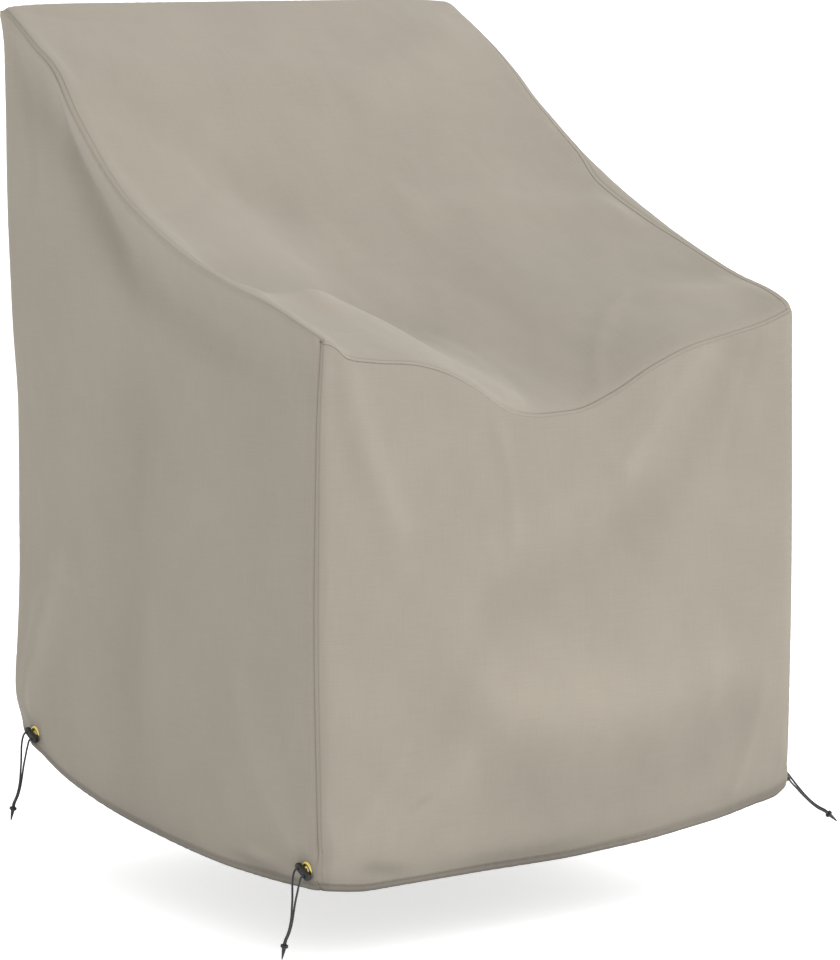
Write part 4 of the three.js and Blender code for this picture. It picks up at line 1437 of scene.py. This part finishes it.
@dataclass(frozen=True)
class Stitching:
    """Rows of lockstitch on a panel: one small capsule of thread for each stitch."""

    pitch: float = 3.4
    length: float = 2.7
    width: float = 0.5
    height: float = 0.34
    sunk: float = 0.06
    slant: float = 0.09
    clear_of_eyelet: float = 10.6

    def capsule(self) -> Pair:
        """One stitch: three rings of four points between two poles, 14 points in all.

        Returns:
            Points as along, aside and out of the cloth, and corners of the faces.
        """
        angle = (np.arange(4) + 0.5) * np.pi / 2
        along = np.array([-0.36, 0.0, 0.36]) * self.length
        swell = np.array([0.84, 1.0, 0.84])
        rings = np.empty((3, 4, 3))
        rings[..., 0] = along[:, None]
        rings[..., 1] = swell[:, None] * np.cos(angle) * self.width / 1.414
        rings[..., 2] = swell[:, None] * np.sin(angle) * self.height / 1.414
        poles = np.array([[-0.5 * self.length, 0, -0.1], [0.5 * self.length, 0, -0.1]])
        return np.concatenate([rings.reshape(-1, 3), poles]), capped_quads(3, 4)

    def row(self, panel: ClothPanel, u: Array, v: Array) -> Array:
        """Corner points of the stitches along one line on a panel.

        Args:
            panel: The panel that carries them.
            u: First coordinate along the line.
            v: Second coordinate along the line.

        Returns:
            Points, 14 for each stitch.
        """
        line, _ = panel.surface(u, v)
        run = run_along(line)
        count = int((run[-1] - self.length) / self.pitch)
        at = (np.arange(count) + 0.5) * run[-1] / count
        su, sv = np.interp(at, run, u), np.interp(at, run, v)
        clear = panel.eyelet_distance(su, sv) > self.clear_of_eyelet
        centre, normal = panel.surface(su[clear], sv[clear])
        low, high = (points_at(at[clear] + step, run, line) for step in (-1, 1))
        along = unit(high - low)
        aside = unit(np.cross(normal, along))
        out = np.cross(along, aside)
        turned = along + self.slant * aside
        aside = aside - self.slant * along
        shape, _ = self.capsule()
        steps = shape[:, 0, None] * turned[:, None] + shape[:, 1, None] * aside[:, None]
        steps += (shape[:, 2, None] - self.sunk) * out[:, None]
        return (centre[:, None] + steps).reshape(-1, 3)

    def build(self, panel: ClothPanel) -> Object:
        """All the stitches of a panel as one mesh.

        Args:
            panel: The panel that carries them.

        Returns:
            The stitches' object.
        """
        points = np.concatenate([self.row(panel, u, v) for u, v in panel.stitch_rows()])
        shape, quads = self.capsule()
        first = np.arange(0, len(points), len(shape))
        corners = (quads[None] + first[:, None, None]).reshape(-1, 4)
        return PieceMesh(f"{panel.name.value}_stitches", points, corners).build()


@dataclass(frozen=True)
class EyeletSizes:
    """Sizes of a brass eyelet: its bore, its rim, and where its flanges meet the cloth."""

    bore: float = 4.2
    rim: float = 9.2
    tube: float = 4.9
    near: float = 0.3
    far: float = -2.7
    sides: int = 56

    def profile(self) -> Array:
        """Closed section of the ring, its corners cut until they are round.

        Returns:
            Rows of radius and distance out of the cloth.
        """
        bore, rim, near, far = self.bore, self.rim, self.near, self.far
        corners = np.array([
            (bore, near + 0.5), (bore + 0.25, near + 1.0), (bore + 1.0, near + 1.35),
            (bore + 2.6, near + 1.28), (rim - 1.2, near + 0.95), (rim, near + 0.4),
            (rim, near + 0.02), (rim - 1.0, near), (self.tube, near), (self.tube, far),
            (rim - 1.0, far), (rim, far), (rim, far - 0.35), (rim - 1.2, far - 0.9),
            (bore + 1.6, far - 1.2), (bore + 0.3, far - 1.0), (bore, far - 0.5), (bore, -1.2),
        ])
        return cut_corners(corners, 2, True)


@dataclass(frozen=True)
class ToggleSizes:
    """Sizes of a bar toggle, and where its middle sits from the middle of the eyelet."""

    length: float = 26.0
    width: float = 7.6
    thick: float = 6.5
    edge: float = 1.7
    crown: float = 0.25
    spacing: float = 12.5
    hole: float = 1.95
    flare: float = 0.55
    out: float = 5.2
    up: float = -1.0
    tilt: float = 28.6

    def outline_reach(self, angle: Array) -> Array:
        """Distance from a hole's middle to the edge of its half of the bar, at each angle.

        The half is bounded by the middle line, two straight sides and a half circle; a ray's
        reach is the nearest of the three crossings that counts.

        Args:
            angle: Angles from the bar's length.

        Returns:
            The reach at each angle.
        """
        half, at = self.width / 2, self.spacing / 2
        centre = self.length / 2 - half
        c, s = np.cos(angle), np.sin(angle)
        straight = half / np.maximum(np.abs(s), 1e-9)
        middle = np.where(c < 0, at / np.maximum(-c, 1e-9), np.inf)
        back = (centre - at) * c
        circle = back + np.sqrt(np.maximum(0, back**2 - (centre - at) ** 2 + half**2))
        on_circle = (at + straight * c) > centre
        return np.minimum(np.where(on_circle, circle, straight), middle)

    def half_bar(self) -> Pair:
        """Half of the bar round its hole: rays from the hole by a closed section on each ray.

        The height of the top falls off at the edge as a quarter circle of the distance to it,
        and again at the hole, which is flared.

        Returns:
            Points of the rays by the section, and which rays end on the middle line.
        """
        half, at = self.width / 2, self.spacing / 2
        spine = self.length / 2 - half
        turns = (0, math.atan2(half, spine - at), math.atan2(half, -at), np.pi)
        counts = (8, 14, 6)
        arcs = [
            np.linspace(low, high, count, endpoint=False)
            for low, high, count in zip(turns, turns[1:], counts)
        ]
        upper = np.concatenate([*arcs, [np.pi]])
        angle = np.concatenate([upper, -upper[::-1][1:-1]])
        reach = self.outline_reach(angle)
        share = np.array([0, 0.03, 0.08, 0.16, 0.3, 0.45, 0.6, 0.72, 0.82, 0.9, 0.96, 0.99, 1.0])
        radius = self.hole + (reach[:, None] - self.hole) * share
        x = at + radius * np.cos(angle)[:, None]
        y = radius * np.sin(angle)[:, None]
        inside = half - np.hypot(x - np.clip(x, -spine, spine), y)
        drop = self.quarter(inside, self.edge) + self.quarter(radius - self.hole, self.flare)
        crown = self.crown * (np.abs(x) / (self.length / 2)) ** 2
        top = self.thick / 2 - drop - crown
        ring = np.stack([x, y, top], -1)
        section = np.concatenate([ring, ring[:, ::-1] * [1, 1, -1]], axis=1)
        return section, np.abs(x[:, -1]) < 1e-6

    @staticmethod
    def quarter(distance: Array, radius: float) -> Array:
        """Drop of a surface that is rounded off to an edge by a quarter circle."""
        left = np.clip(radius - distance, 0, radius)
        return radius - np.sqrt(np.maximum(0, radius**2 - left**2))

    def bar(self) -> Pair:
        """The whole bar: the half and its mirror image, made one where points share a place.

        Returns:
            Points as along, aside and out, and corners of the faces.
        """
        section, on_middle = self.half_bar()
        rays, size = section.shape[:2]
        quads = ring_quads(rays, size, True).reshape(rays, size, 4)
        both = on_middle & np.roll(on_middle, -1)
        keep = np.ones((rays, size), bool)
        keep[:, size // 2 - 1] = ~both
        quads = quads[keep]
        half = section.reshape(-1, 3)
        points = np.concatenate([half, half * [-1, 1, 1]])
        corners = np.concatenate([quads, quads[:, [1, 0, 3, 2]] + len(half)])
        places = np.round(points, 5)
        _, first, number = np.unique(places, axis=0, return_index=True, return_inverse=True)
        return points[first], number.reshape(-1)[corners]


@dataclass(frozen=True)
class CordSizes:
    """Sizes of a braided cord and of the pointed end that a tie's two cords share."""

    diameter: float = 2.3
    sides: int = 24
    ring_step: float = 0.3
    plaits: int = 8
    plait_length: float = 3.4
    relief: float = 0.07
    clearance: float = 0.3
    end_sides: int = 40

    def end_profile(self) -> Array:
        """Radius and distance along the pointed end: a rolled collar, a neck and a long cone."""
        corners = np.array([
            (0.05, 0.0), (2.6, 0.0), (3.5, 0.15), (4.15, 0.9), (4.3, 1.7), (4.2, 2.6), (3.5, 3.3),
            (2.5, 4.1), (2.15, 5.0), (1.95, 7.0), (1.55, 10.0), (1.05, 13.4), (0.6, 16.3),
            (0.36, 17.0), (0.05, 17.2),
        ])
        return cut_corners(corners, 2, False)


@dataclass
class CornerTie:
    """One corner's tie: the eyelet, the bar toggle on it, two cords and their pointed end."""

    spot: TieSpot
    form: CoverForm
    eyelet: EyeletSizes = EyeletSizes()
    toggle: ToggleSizes = ToggleSizes()
    cord: CordSizes = CordSizes()

    def place(self, steps: Array) -> Array:
        """Points from their steps out, back and up from the middle of the eyelet."""
        return self.form.eyelet_centres[self.spot.name] + steps * [self.spot.side, 1, 1]

    def line(self, end: int) -> Array:
        """Route points of a cord, with end 1 or -1, or of the line between the two, with end 0."""
        rows = np.array(HANGING_ROUTE if self.spot.lay is TieLay.HANGING else SIDEWAYS_ROUTE)
        return self.place(rows[:, :3] * [1, self.spot.lean, self.spot.drop] + end * rows[:, 3:])

    @property
    def outward(self) -> Array:
        """Direction out of the side panel."""
        return np.array([self.spot.side, 0.0, 0.0])

    def build_eyelet(self) -> Object:
        """The brass ring, turned round the line out of the cloth.

        Returns:
            The eyelet's object.
        """
        start, sides = self.place(np.zeros(3)), self.eyelet.sides
        ring = lathe(self.eyelet.profile(), sides, start, self.outward, False)
        return PieceMesh(f"eyelet_ring_{self.spot.name}", *ring).build()

    def build_toggle(self) -> Object:
        """The bar, tilted in the plane of the cloth.

        Returns:
            The toggle's object.
        """
        points, quads = self.toggle.bar()
        lean = math.radians(self.toggle.tilt)
        along = np.array([0, math.cos(lean), math.sin(lean)])
        turned = np.stack([along, np.cross(self.outward, along), self.outward])
        points = points @ turned + self.place(np.array([self.toggle.out, 0, self.toggle.up]))
        return PieceMesh(f"bar_toggle_{self.spot.name}", points, quads).build()

    def build_cord(self, end: int) -> tuple[Object, Array]:
        """A braided tube along its route, closed at both ends.

        The radius rises where two spirals of plaits, one each way, have their tops: it is the
        larger of two cosines of the angle plus or minus the distance along.

        Args:
            end: 1 for the first cord and -1 for the second.

        Returns:
            The cord's object, and the points that it follows in the row frame.
        """
        c, route = self.cord, self.line(end)
        rough = run_along(route)[-1]
        path = natural_curve(route, int(rough / c.ring_step))
        tangent = unit(np.gradient(path, axis=0))
        first = unit(np.cross(tangent, [0, 1, 0]))
        second = np.cross(tangent, first)
        angle = np.arange(c.sides) * 2 * np.pi / c.sides
        turn = 2 * np.pi * np.linspace(0, rough, len(path))[:, None] / c.plait_length
        half = c.plaits / 2
        braid = np.maximum(np.cos(half * angle + turn), np.cos(half * angle - turn))
        radius = c.diameter / 2 + c.relief * (braid - 0.45)
        c_out, s_out = np.cos(angle)[:, None], np.sin(angle)[:, None]
        rings = radius[..., None] * (c_out * first[:, None] + s_out * second[:, None])
        points = np.concatenate([(path[:, None] + rings).reshape(-1, 3), path[[0, -1]]])
        name = f"tie_cord_{self.spot.name}_{'a' if end > 0 else 'b'}"
        cord = PieceMesh(name, points, capped_quads(len(path), c.sides)).build()
        return cord, in_row_frame(path)

    def build_end(self) -> Object:
        """The pointed end, on the line where the two cords stop.

        Returns:
            The cord end's object.
        """
        before, last = self.line(0)[-2:]
        axis = unit(last - before)
        start = last + self.cord.clearance * axis
        cone = lathe(self.cord.end_profile(), self.cord.end_sides, start, axis, True)
        return PieceMesh(f"cord_tip_{self.spot.name}", *cone).build()


class Socket(Enum):
    """Kinds of socket on a shader group, by Blender's names."""

    NUMBER = "NodeSocketFloat"
    VECTOR = "NodeSocketVector"


@dataclass
class NodeSheet:
    """Small helper that adds and joins nodes in one tree."""

    tree: NodeTree

    def fill(self, node: Node, inputs: dict[str | int, Input]) -> None:
        """Sets or joins inputs of a node.

        Args:
            node: The node.
            inputs: For each input socket a value, or an output socket to join to it.
        """
        for key, value in inputs.items():
            if isinstance(value, NodeSocket):
                self.tree.links.new(value, node.inputs[key])
            else:
                node.inputs[key].default_value = value

    def add(
        self, kind: str, inputs: dict[str | int, Input] | None = None, **settings: object
    ) -> Node:
        """Adds a node.

        Args:
            kind: Blender's name for the node type.
            inputs: Its inputs, as for fill().
            **settings: Attributes of the node.

        Returns:
            The node.
        """
        node = self.tree.nodes.new(kind)
        for name, value in settings.items():
            setattr(node, name, value)
        self.fill(node, inputs or {})
        return node

    def math(self, operation: str, a: Input, b: Input = 0.0, c: Input = 0.0) -> NodeSocket:
        """Joins a Math node and gives its output."""
        return self.add("ShaderNodeMath", {0: a, 1: b, 2: c}, operation=operation).outputs[0]

    def noise(self, place: NodeSocket, scale: Input, detail: float) -> NodeSocket:
        """Joins a noise texture and gives its grey output, about 0.5 all over."""
        inputs = {"Vector": place, "Scale": scale, "Detail": detail}
        return self.add("ShaderNodeTexNoise", inputs).outputs[0]

    def mix(self, share: Input, a: Input, b: Input, blend: str = "MIX") -> NodeSocket:
        """Joins a colour mix and gives its output."""
        inputs = {0: share, 6: a, 7: b}
        return self.add("ShaderNodeMix", inputs, data_type="RGBA", blend_type=blend).outputs[2]

    def bump(self, height: Input, strength: float, distance: float) -> NodeSocket:
        """Joins a Bump node and gives its normals."""
        inputs = {"Height": height, "Strength": strength, "Distance": distance}
        return self.add("ShaderNodeBump", inputs).outputs[0]


def shader_group(
    name: str, inputs: dict[str, Socket], outputs: dict[str, Socket]
) -> tuple[NodeTree, NodeSheet, Node, Node]:
    """Makes an empty shader group with named sockets.

    Args:
        name: Name of the group.
        inputs: Kind of each input by its name.
        outputs: Kind of each output by its name.

    Returns:
        The group, a NodeSheet on it, its input node and its output node.
    """
    group = bpy.data.node_groups.new(name, "ShaderNodeTree")
    for way, sockets in (("INPUT", inputs), ("OUTPUT", outputs)):
        for socket, kind in sockets.items():
            group.interface.new_socket(socket, in_out=way, socket_type=kind.value)
    sheet = NodeSheet(group)
    return group, sheet, sheet.add("NodeGroupInput"), sheet.add("NodeGroupOutput")


def weave_group() -> NodeTree:
    """Plain weave: over and under threads, with slubs where a thread runs thick.

    A thread's section is the size of a sine of its place over the pitch. The product of the two
    sines, which changes sign from one crossing to the next, says which thread is on top.

    Returns:
        The group, with inputs Place in metres and Threads per metre, and outputs Height and Slub.
    """
    inputs = {"Place": Socket.VECTOR, "Threads": Socket.NUMBER}
    outputs = {"Height": Socket.NUMBER, "Slub": Socket.NUMBER}
    group, sheet, start, end = shader_group("plain_weave", inputs, outputs)
    split = sheet.add("ShaderNodeSeparateXYZ", {0: start.outputs["Place"]})
    turns = sheet.math("MULTIPLY", start.outputs["Threads"], math.pi)
    warp = sheet.math("SINE", sheet.math("MULTIPLY", split.outputs["X"], turns))
    weft = sheet.math("SINE", sheet.math("MULTIPLY", split.outputs["Y"], turns))
    order = sheet.math("MULTIPLY", sheet.math("MULTIPLY", warp, weft), 0.35)
    over = sheet.math("MULTIPLY", sheet.math("ABSOLUTE", warp), sheet.math("ADD", 0.65, order))
    rest = sheet.math("SUBTRACT", 0.65, order)
    under = sheet.math("MULTIPLY", sheet.math("ABSOLUTE", weft), rest)
    streaks = []
    for stretch in ((620.0, 22.0, 1.0), (22.0, 620.0, 1.0)):
        place = sheet.add("ShaderNodeMapping", {"Vector": start.outputs["Place"], "Scale": stretch})
        streaks.append(sheet.noise(place.outputs[0], 1.0, 1.0))
    slub = sheet.math("MULTIPLY", sheet.math("ADD", *streaks), 0.5)
    sheet.fill(end, {"Height": sheet.math("MAXIMUM", over, under), "Slub": slub})
    return group


def grain_group() -> NodeTree:
    """Fine grain and broad mottling, both about 0.5 all over.

    Returns:
        The group, with inputs Place in metres, Fine and Broad, the two sizes in metres, and
        outputs Grain and Mottle.
    """
    inputs = {"Place": Socket.VECTOR, "Fine": Socket.NUMBER, "Broad": Socket.NUMBER}
    outputs = {"Grain": Socket.NUMBER, "Mottle": Socket.NUMBER}
    group, sheet, start, end = shader_group("fine_grain", inputs, outputs)
    for size, output, detail in (("Fine", "Grain", 2.0), ("Broad", "Mottle", 3.0)):
        scale = sheet.math("DIVIDE", 1.0, start.outputs[size])
        sheet.fill(end, {output: sheet.noise(start.outputs["Place"], scale, detail)})
    return group


def tint(colour: Triple, factor: float = 1.0) -> tuple[float, float, float, float]:
    """Colour times a factor, with full opacity."""
    return (*(factor * part for part in colour), 1.0)


@dataclass(frozen=True)
class ClothFinish:
    """Smooth, closely woven taupe cloth, proofed on its inner face.

    Dark and light are the ends of the colour's range as factors. Slubs, mottling and grain take
    their shares of it, painted shade darkens the gaps between threads, and the panels' painted
    light and shade multiplies it. Threads are per metre, fine and broad in metres. Proofing makes
    the inner face glossier and its weave shallower.
    """

    name: str = "taupe_cloth"
    colour: Triple = (0.345, 0.307, 0.251)
    inner: Triple = (0.26, 0.235, 0.197)
    dark: float = 0.8
    light: float = 1.16
    slubs: float = 0.42
    mottling: float = 0.36
    grain: float = 0.3
    # Painted shade in the gaps between threads
    gap: float = 0.34
    threads: float = 1540.0
    fine: float = 0.0021
    broad: float = 0.13
    roughness: float = 0.82
    rough_range: float = 0.16
    proofed_gloss: float = 0.22
    proofed_smoothing: float = 0.75
    sheen: float = 0.15
    sheen_roughness: float = 0.45
    relief: float = 0.00016

    def make(self, weave: NodeTree, grain: NodeTree) -> Material:
        """Builds the material.

        Args:
            weave: The plain weave group.
            grain: The fine grain group.

        Returns:
            The material.
        """
        material, sheet, shader = principled(self.name)
        place = sheet.add("ShaderNodeUVMap", uv_map="Cut").outputs[0]
        threads = {"Place": place, "Threads": self.threads}
        sizes = {"Place": place, "Fine": self.fine, "Broad": self.broad}
        height, slub = sheet.add("ShaderNodeGroup", threads, node_tree=weave).outputs[:2]
        fleck, mottle = sheet.add("ShaderNodeGroup", sizes, node_tree=grain).outputs[:2]
        inside, tone_and_painted_shade = (
            sheet.add("ShaderNodeAttribute", attribute_name=name).outputs["Fac"]
            for name in ("inside", "tone_and_painted_shade")
        )
        share = sheet.math("MULTIPLY", slub, self.slubs)
        share = sheet.math("MULTIPLY_ADD", mottle, self.mottling, share)
        share = sheet.math("MULTIPLY_ADD", fleck, self.grain, share)
        face = sheet.mix(share, tint(self.colour, self.dark), tint(self.colour, self.light))
        # Painted shade in the gaps between threads, times the panel's painted light and shade
        shade_between_threads = sheet.math("MULTIPLY_ADD", height, self.gap, 0.78)
        factor = sheet.math("MULTIPLY", sheet.math("MINIMUM", shade_between_threads, 1.0), tone_and_painted_shade)
        shaded = sheet.mix(1.0, face, factor, "MULTIPLY")
        least = self.roughness - self.rough_range / 2
        rough = sheet.math("MULTIPLY_ADD", fleck, self.rough_range, least)
        height = sheet.math("MULTIPLY_ADD", slub, 0.35, height)
        left = sheet.math("MULTIPLY_ADD", inside, -self.proofed_smoothing, 1.0)
        sheet.fill(shader, {
            "Base Color": sheet.mix(inside, shaded, tint(self.inner)),
            "Roughness": sheet.math("MULTIPLY_ADD", inside, -self.proofed_gloss, rough),
            "Sheen Weight": self.sheen,
            "Sheen Roughness": self.sheen_roughness,
            "Normal": sheet.bump(sheet.math("MULTIPLY", height, left), 0.35, self.relief),
        })
        return material


@dataclass(frozen=True)
class SolidFinish:
    """Thread, brass, plastic or cord: a colour with fine grain in its tone, gloss and surface."""

    name: str
    colour: Triple
    roughness: float
    spread: float
    fine: float
    broad: float
    relief: float
    metallic: float = 0.0
    sheen: float = 0.0

    def make(self, grain: NodeTree) -> Material:
        """Builds the material.

        Args:
            grain: The fine grain group.

        Returns:
            The material.
        """
        material, sheet, shader = principled(self.name)
        place = sheet.add("ShaderNodeTexCoord").outputs["Object"]
        sizes = {"Place": place, "Fine": self.fine, "Broad": self.broad}
        fleck, mottle = sheet.add("ShaderNodeGroup", sizes, node_tree=grain).outputs[:2]
        tone_and_painted_shade = sheet.math("MULTIPLY", sheet.math("ADD", fleck, mottle), 0.5)
        ends = (tint(self.colour, 1 + way * self.spread) for way in (-1, 1))
        sheet.fill(shader, {
            "Base Color": sheet.mix(tone_and_painted_shade, *ends),
            "Roughness": sheet.math("MULTIPLY_ADD", tone_and_painted_shade, 0.3, self.roughness - 0.15),
            "Metallic": self.metallic,
            "Sheen Weight": self.sheen,
            "Normal": sheet.bump(fleck, 0.5, self.relief),
        })
        return material


def principled(name: str) -> tuple[Material, NodeSheet, Node]:
    """Makes a material with a Principled shader and nothing else.

    Args:
        name: Name of the material.

    Returns:
        The material, a NodeSheet on its tree, and the shader's node.
    """
    material = bpy.data.materials.new(name)
    material.use_nodes = True
    material.node_tree.nodes.clear()
    sheet = NodeSheet(material.node_tree)
    shader = sheet.add("ShaderNodeBsdfPrincipled")
    sheet.add("ShaderNodeOutputMaterial", {"Surface": shader.outputs[0]})
    return material, sheet, shader


@dataclass
class Finishes:
    """All the materials of the cover and of the floor."""

    cloth: Material
    thread: Material
    brass: Material
    plastic: Material
    cord: Material
    floor: Material

    @classmethod
    def make(cls) -> "Finishes":
        """Builds the shared groups once, then each material with its own values.

        Returns:
            The finishes.
        """
        weave, grain = weave_group(), grain_group()
        thread, brass, cord = (0.25, 0.225, 0.187), (0.86, 0.70, 0.20), (0.03, 0.029, 0.032)
        solids = (
            SolidFinish("taupe_thread", thread, 0.75, 0.12, 0.0006, 0.02, 4e-5, sheen=0.2),
            SolidFinish("pale_brass", brass, 0.26, 0.1, 0.0007, 0.006, 3e-5, metallic=1.0),
            SolidFinish("charcoal_plastic", (0.02,) * 3, 0.42, 0.2, 0.0005, 0.006, 3e-5),
            SolidFinish("charcoal_cord", cord, 0.85, 0.3, 0.0004, 0.01, 6e-5, sheen=0.4),
            SolidFinish("pale_floor", (0.86,) * 3, 0.7, 0.01, 0.01, 0.5, 1e-5),
        )
        return cls(ClothFinish().make(weave, grain), *(solid.make(grain) for solid in solids))


class SoftLight(Enum):
    """The soft lights: name, turn to the right of the front, height, strength and spread.

    The angles are in degrees, and spread is the light's width as it is seen from the cover.
    """

    KEY = ("key_light", 58.0, 30.0, 1.4, 34.0)
    FILL = ("fill_light", -20.0, 62.0, 0.3, 60.0)


@dataclass
class Studio:
    """Camera, floor and soft lights. Lengths are in metres, the lens and sensor in millimetres."""

    target: Triple = (0.022, -0.308, -0.5126)
    azimuth: float = -36.18
    elevation: float = 7.7
    distance: float = 4.6
    lens: float = 152.475
    sensor: float = 36.0
    sight: float = 400.0
    light_distance: float = 4.0
    surroundings: float = 0.8
    floor_height: float = -0.9745
    floor_reach: float = 150.0
    floor_glow: float = 0.25
    floor_white: float = 0.65

    def aimed(
        self, name: str, data: bpy.types.ID, azimuth: float, elevation: float, distance: float
    ) -> Object:
        """Places a camera or light at two angles and a distance from the target, facing it.

        Args:
            name: Name of the object.
            data: The camera or light.
            azimuth: Turn to the right of the front panel in degrees.
            elevation: Angle over the target in degrees.
            distance: Distance from the target.

        Returns:
            The object.
        """
        a, e = math.radians(azimuth), math.radians(elevation)
        way = Vector((math.sin(a) * math.cos(e), -math.cos(a) * math.cos(e), math.sin(e)))
        at, target = Vector(self.target) + way * distance, Vector(self.target)
        made = linked(name, data)
        made.location = at
        made.rotation_euler = (target - at).to_track_quat("-Z", "Y").to_euler()
        return made

    def set_camera(self) -> None:
        """Camera at the photograph's angle, with no roll or shift."""
        data = bpy.data.cameras.new("camera")
        data.sensor_width = self.sensor
        data.lens = self.lens
        data.clip_end = self.sight
        camera = self.aimed("camera", data, self.azimuth, self.elevation, self.distance)
        bpy.context.scene.camera = camera

    def set_light(self, kind: SoftLight) -> None:
        """One soft light, far enough away to be even all over the floor.

        Args:
            kind: Which of the lights.
        """
        name, turn, height, strength, spread = kind.value
        data = bpy.data.lights.new(name, "SUN")
        data.energy = strength
        data.angle = math.radians(spread)
        self.aimed(name, data, turn, height, self.light_distance)

    def set_world(self) -> None:
        """Plain white surroundings of one brightness."""
        world = bpy.data.worlds.new("surroundings")
        world.use_nodes = True
        background = world.node_tree.nodes["Background"]
        background.inputs["Color"].default_value = tint((1, 1, 1))
        background.inputs["Strength"].default_value = self.surroundings
        bpy.context.scene.world = world

    def lay_floor(self, finish: Material) -> None:
        """Plain pale floor, wide enough to pass under the whole view, and paler to the camera.

        Args:
            finish: The floor's material, which is given its glow.
        """
        r, height = self.floor_reach, self.floor_height
        corners = [(-r, -r, height), (r, -r, height), (r, r, height), (-r, r, height)]
        mesh = bpy.data.meshes.new("floor")
        mesh.from_pydata(corners, [], [(0, 1, 2, 3)])
        mesh.materials.append(finish)
        floor = linked("floor", mesh)
        sheet, shader = NodeSheet(finish.node_tree), finish.node_tree.nodes["Principled BSDF"]
        seen = sheet.add("ShaderNodeLightPath").outputs["Is Camera Ray"]
        glow = sheet.mix(seen, tint((self.floor_glow,) * 3), tint((self.floor_white,) * 3))
        sheet.fill(shader, {"Emission Color": glow, "Emission Strength": 1.0})
        floor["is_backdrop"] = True


# Width and length that each panel is cut from, and the area of the cut, in metres
FLAT_SIZES = {
    PanelName.MAIN: ((0.64, 0.735), 0.462),
    PanelName.FRONT: ((0.652, 0.6), 0.345),
    PanelName.BACK: ((0.652, 0.92), 0.583),
    PanelName.LEFT: ((0.632, 0.92), 0.433),
    PanelName.RIGHT: ((0.632, 0.92), 0.437),
}


@dataclass
class ClothCover:
    """The five sewn panels and their stitching. First_seed is the first panel's seed."""

    form: CoverForm
    stitching: Stitching = Stitching()
    first_seed: int = 31

    def build(self, finishes: Finishes) -> None:
        """Builds and dresses each panel.

        Args:
            finishes: The materials.
        """
        for number, name in enumerate(PanelName):
            panel = ClothPanel(name, self.form, self.first_seed + number)
            cloth = panel.build()
            dress(cloth, finishes.cloth, "cover_cloth", name.value)
            if panel.stitch_rows():
                dress(self.stitching.build(panel), finishes.thread, "cover_cloth")
            flat, area = FLAT_SIZES[name]


@dataclass
class CornerTies:
    """The four ties at the lower corners. Hidden is the length of a cord inside its toggle."""

    form: CoverForm
    hidden: float = 0.005

    def build(self, finishes: Finishes) -> None:
        """Builds and dresses each tie: its pointed end, its two cords, its toggle and its eyelet.

        Args:
            finishes: The materials.
        """
        for spot in TIES:
            tie = CornerTie(spot, self.form)
            plastic, slot = finishes.plastic, "fitting_plastic"
            tip = dress(tie.build_end(), plastic, slot, f"cord_end_{spot.name}")
            for end, letter in ((1, "a"), (-1, "b")):
                cord, path = tie.build_cord(end)
                dress(cord, finishes.cord, "tie_cord", f"cord_{spot.name}_{letter}")
                length = float(run_along(path)[-1])
            dress(tie.build_toggle(), plastic, slot, f"toggle_{spot.name}")
            dress(tie.build_eyelet(), finishes.brass, "eyelet_metal", f"eyelet_{spot.name}")


def dress(piece: Object, finish: Material, slot: str, *nodes: str) -> Object:
    """Gives a piece its material and body, hides the solids that it stands for, and logs it.

    Args:
        piece: The finished piece, at the origin.
        finish: Its material.
        slot: The record's material slot; not used.
        *nodes: Names of the solids that it replaces.

    Returns:
        The piece.
    """
    piece.data.materials.append(finish)
    if nodes:
        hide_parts(*nodes)
    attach(piece, "root")
    LOG.info("%s: %d faces", piece.name, len(piece.data.polygons))
    return piece


def write_sizes() -> None:
    """Logs the box of the solids and the box of the dressed model as plain lists."""
    boxes = {"cad": CAD_BOX, "visual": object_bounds()}
    plain = {name: [list(map(float, corner)) for corner in box] for name, box in boxes.items()}
    LOG.info("sizes: %s", plain)


def main() -> None:
    """Builds the whole scene: camera first, then cords, cloth and surroundings."""
    studio, finishes, form = Studio(), Finishes.make(), CoverForm()
    studio.set_camera()
    CornerTies(form).build(finishes)
    ClothCover(form).build(finishes)
    studio.lay_floor(finishes.floor)
    for kind in SoftLight:
        studio.set_light(kind)
    studio.set_world()
    bpy.context.scene.view_settings.view_transform = "Standard"
    write_sizes()


if __name__ == "__main__":
    logging.basicConfig(level=logging.INFO, format="%(name)s: %(message)s")
    main()
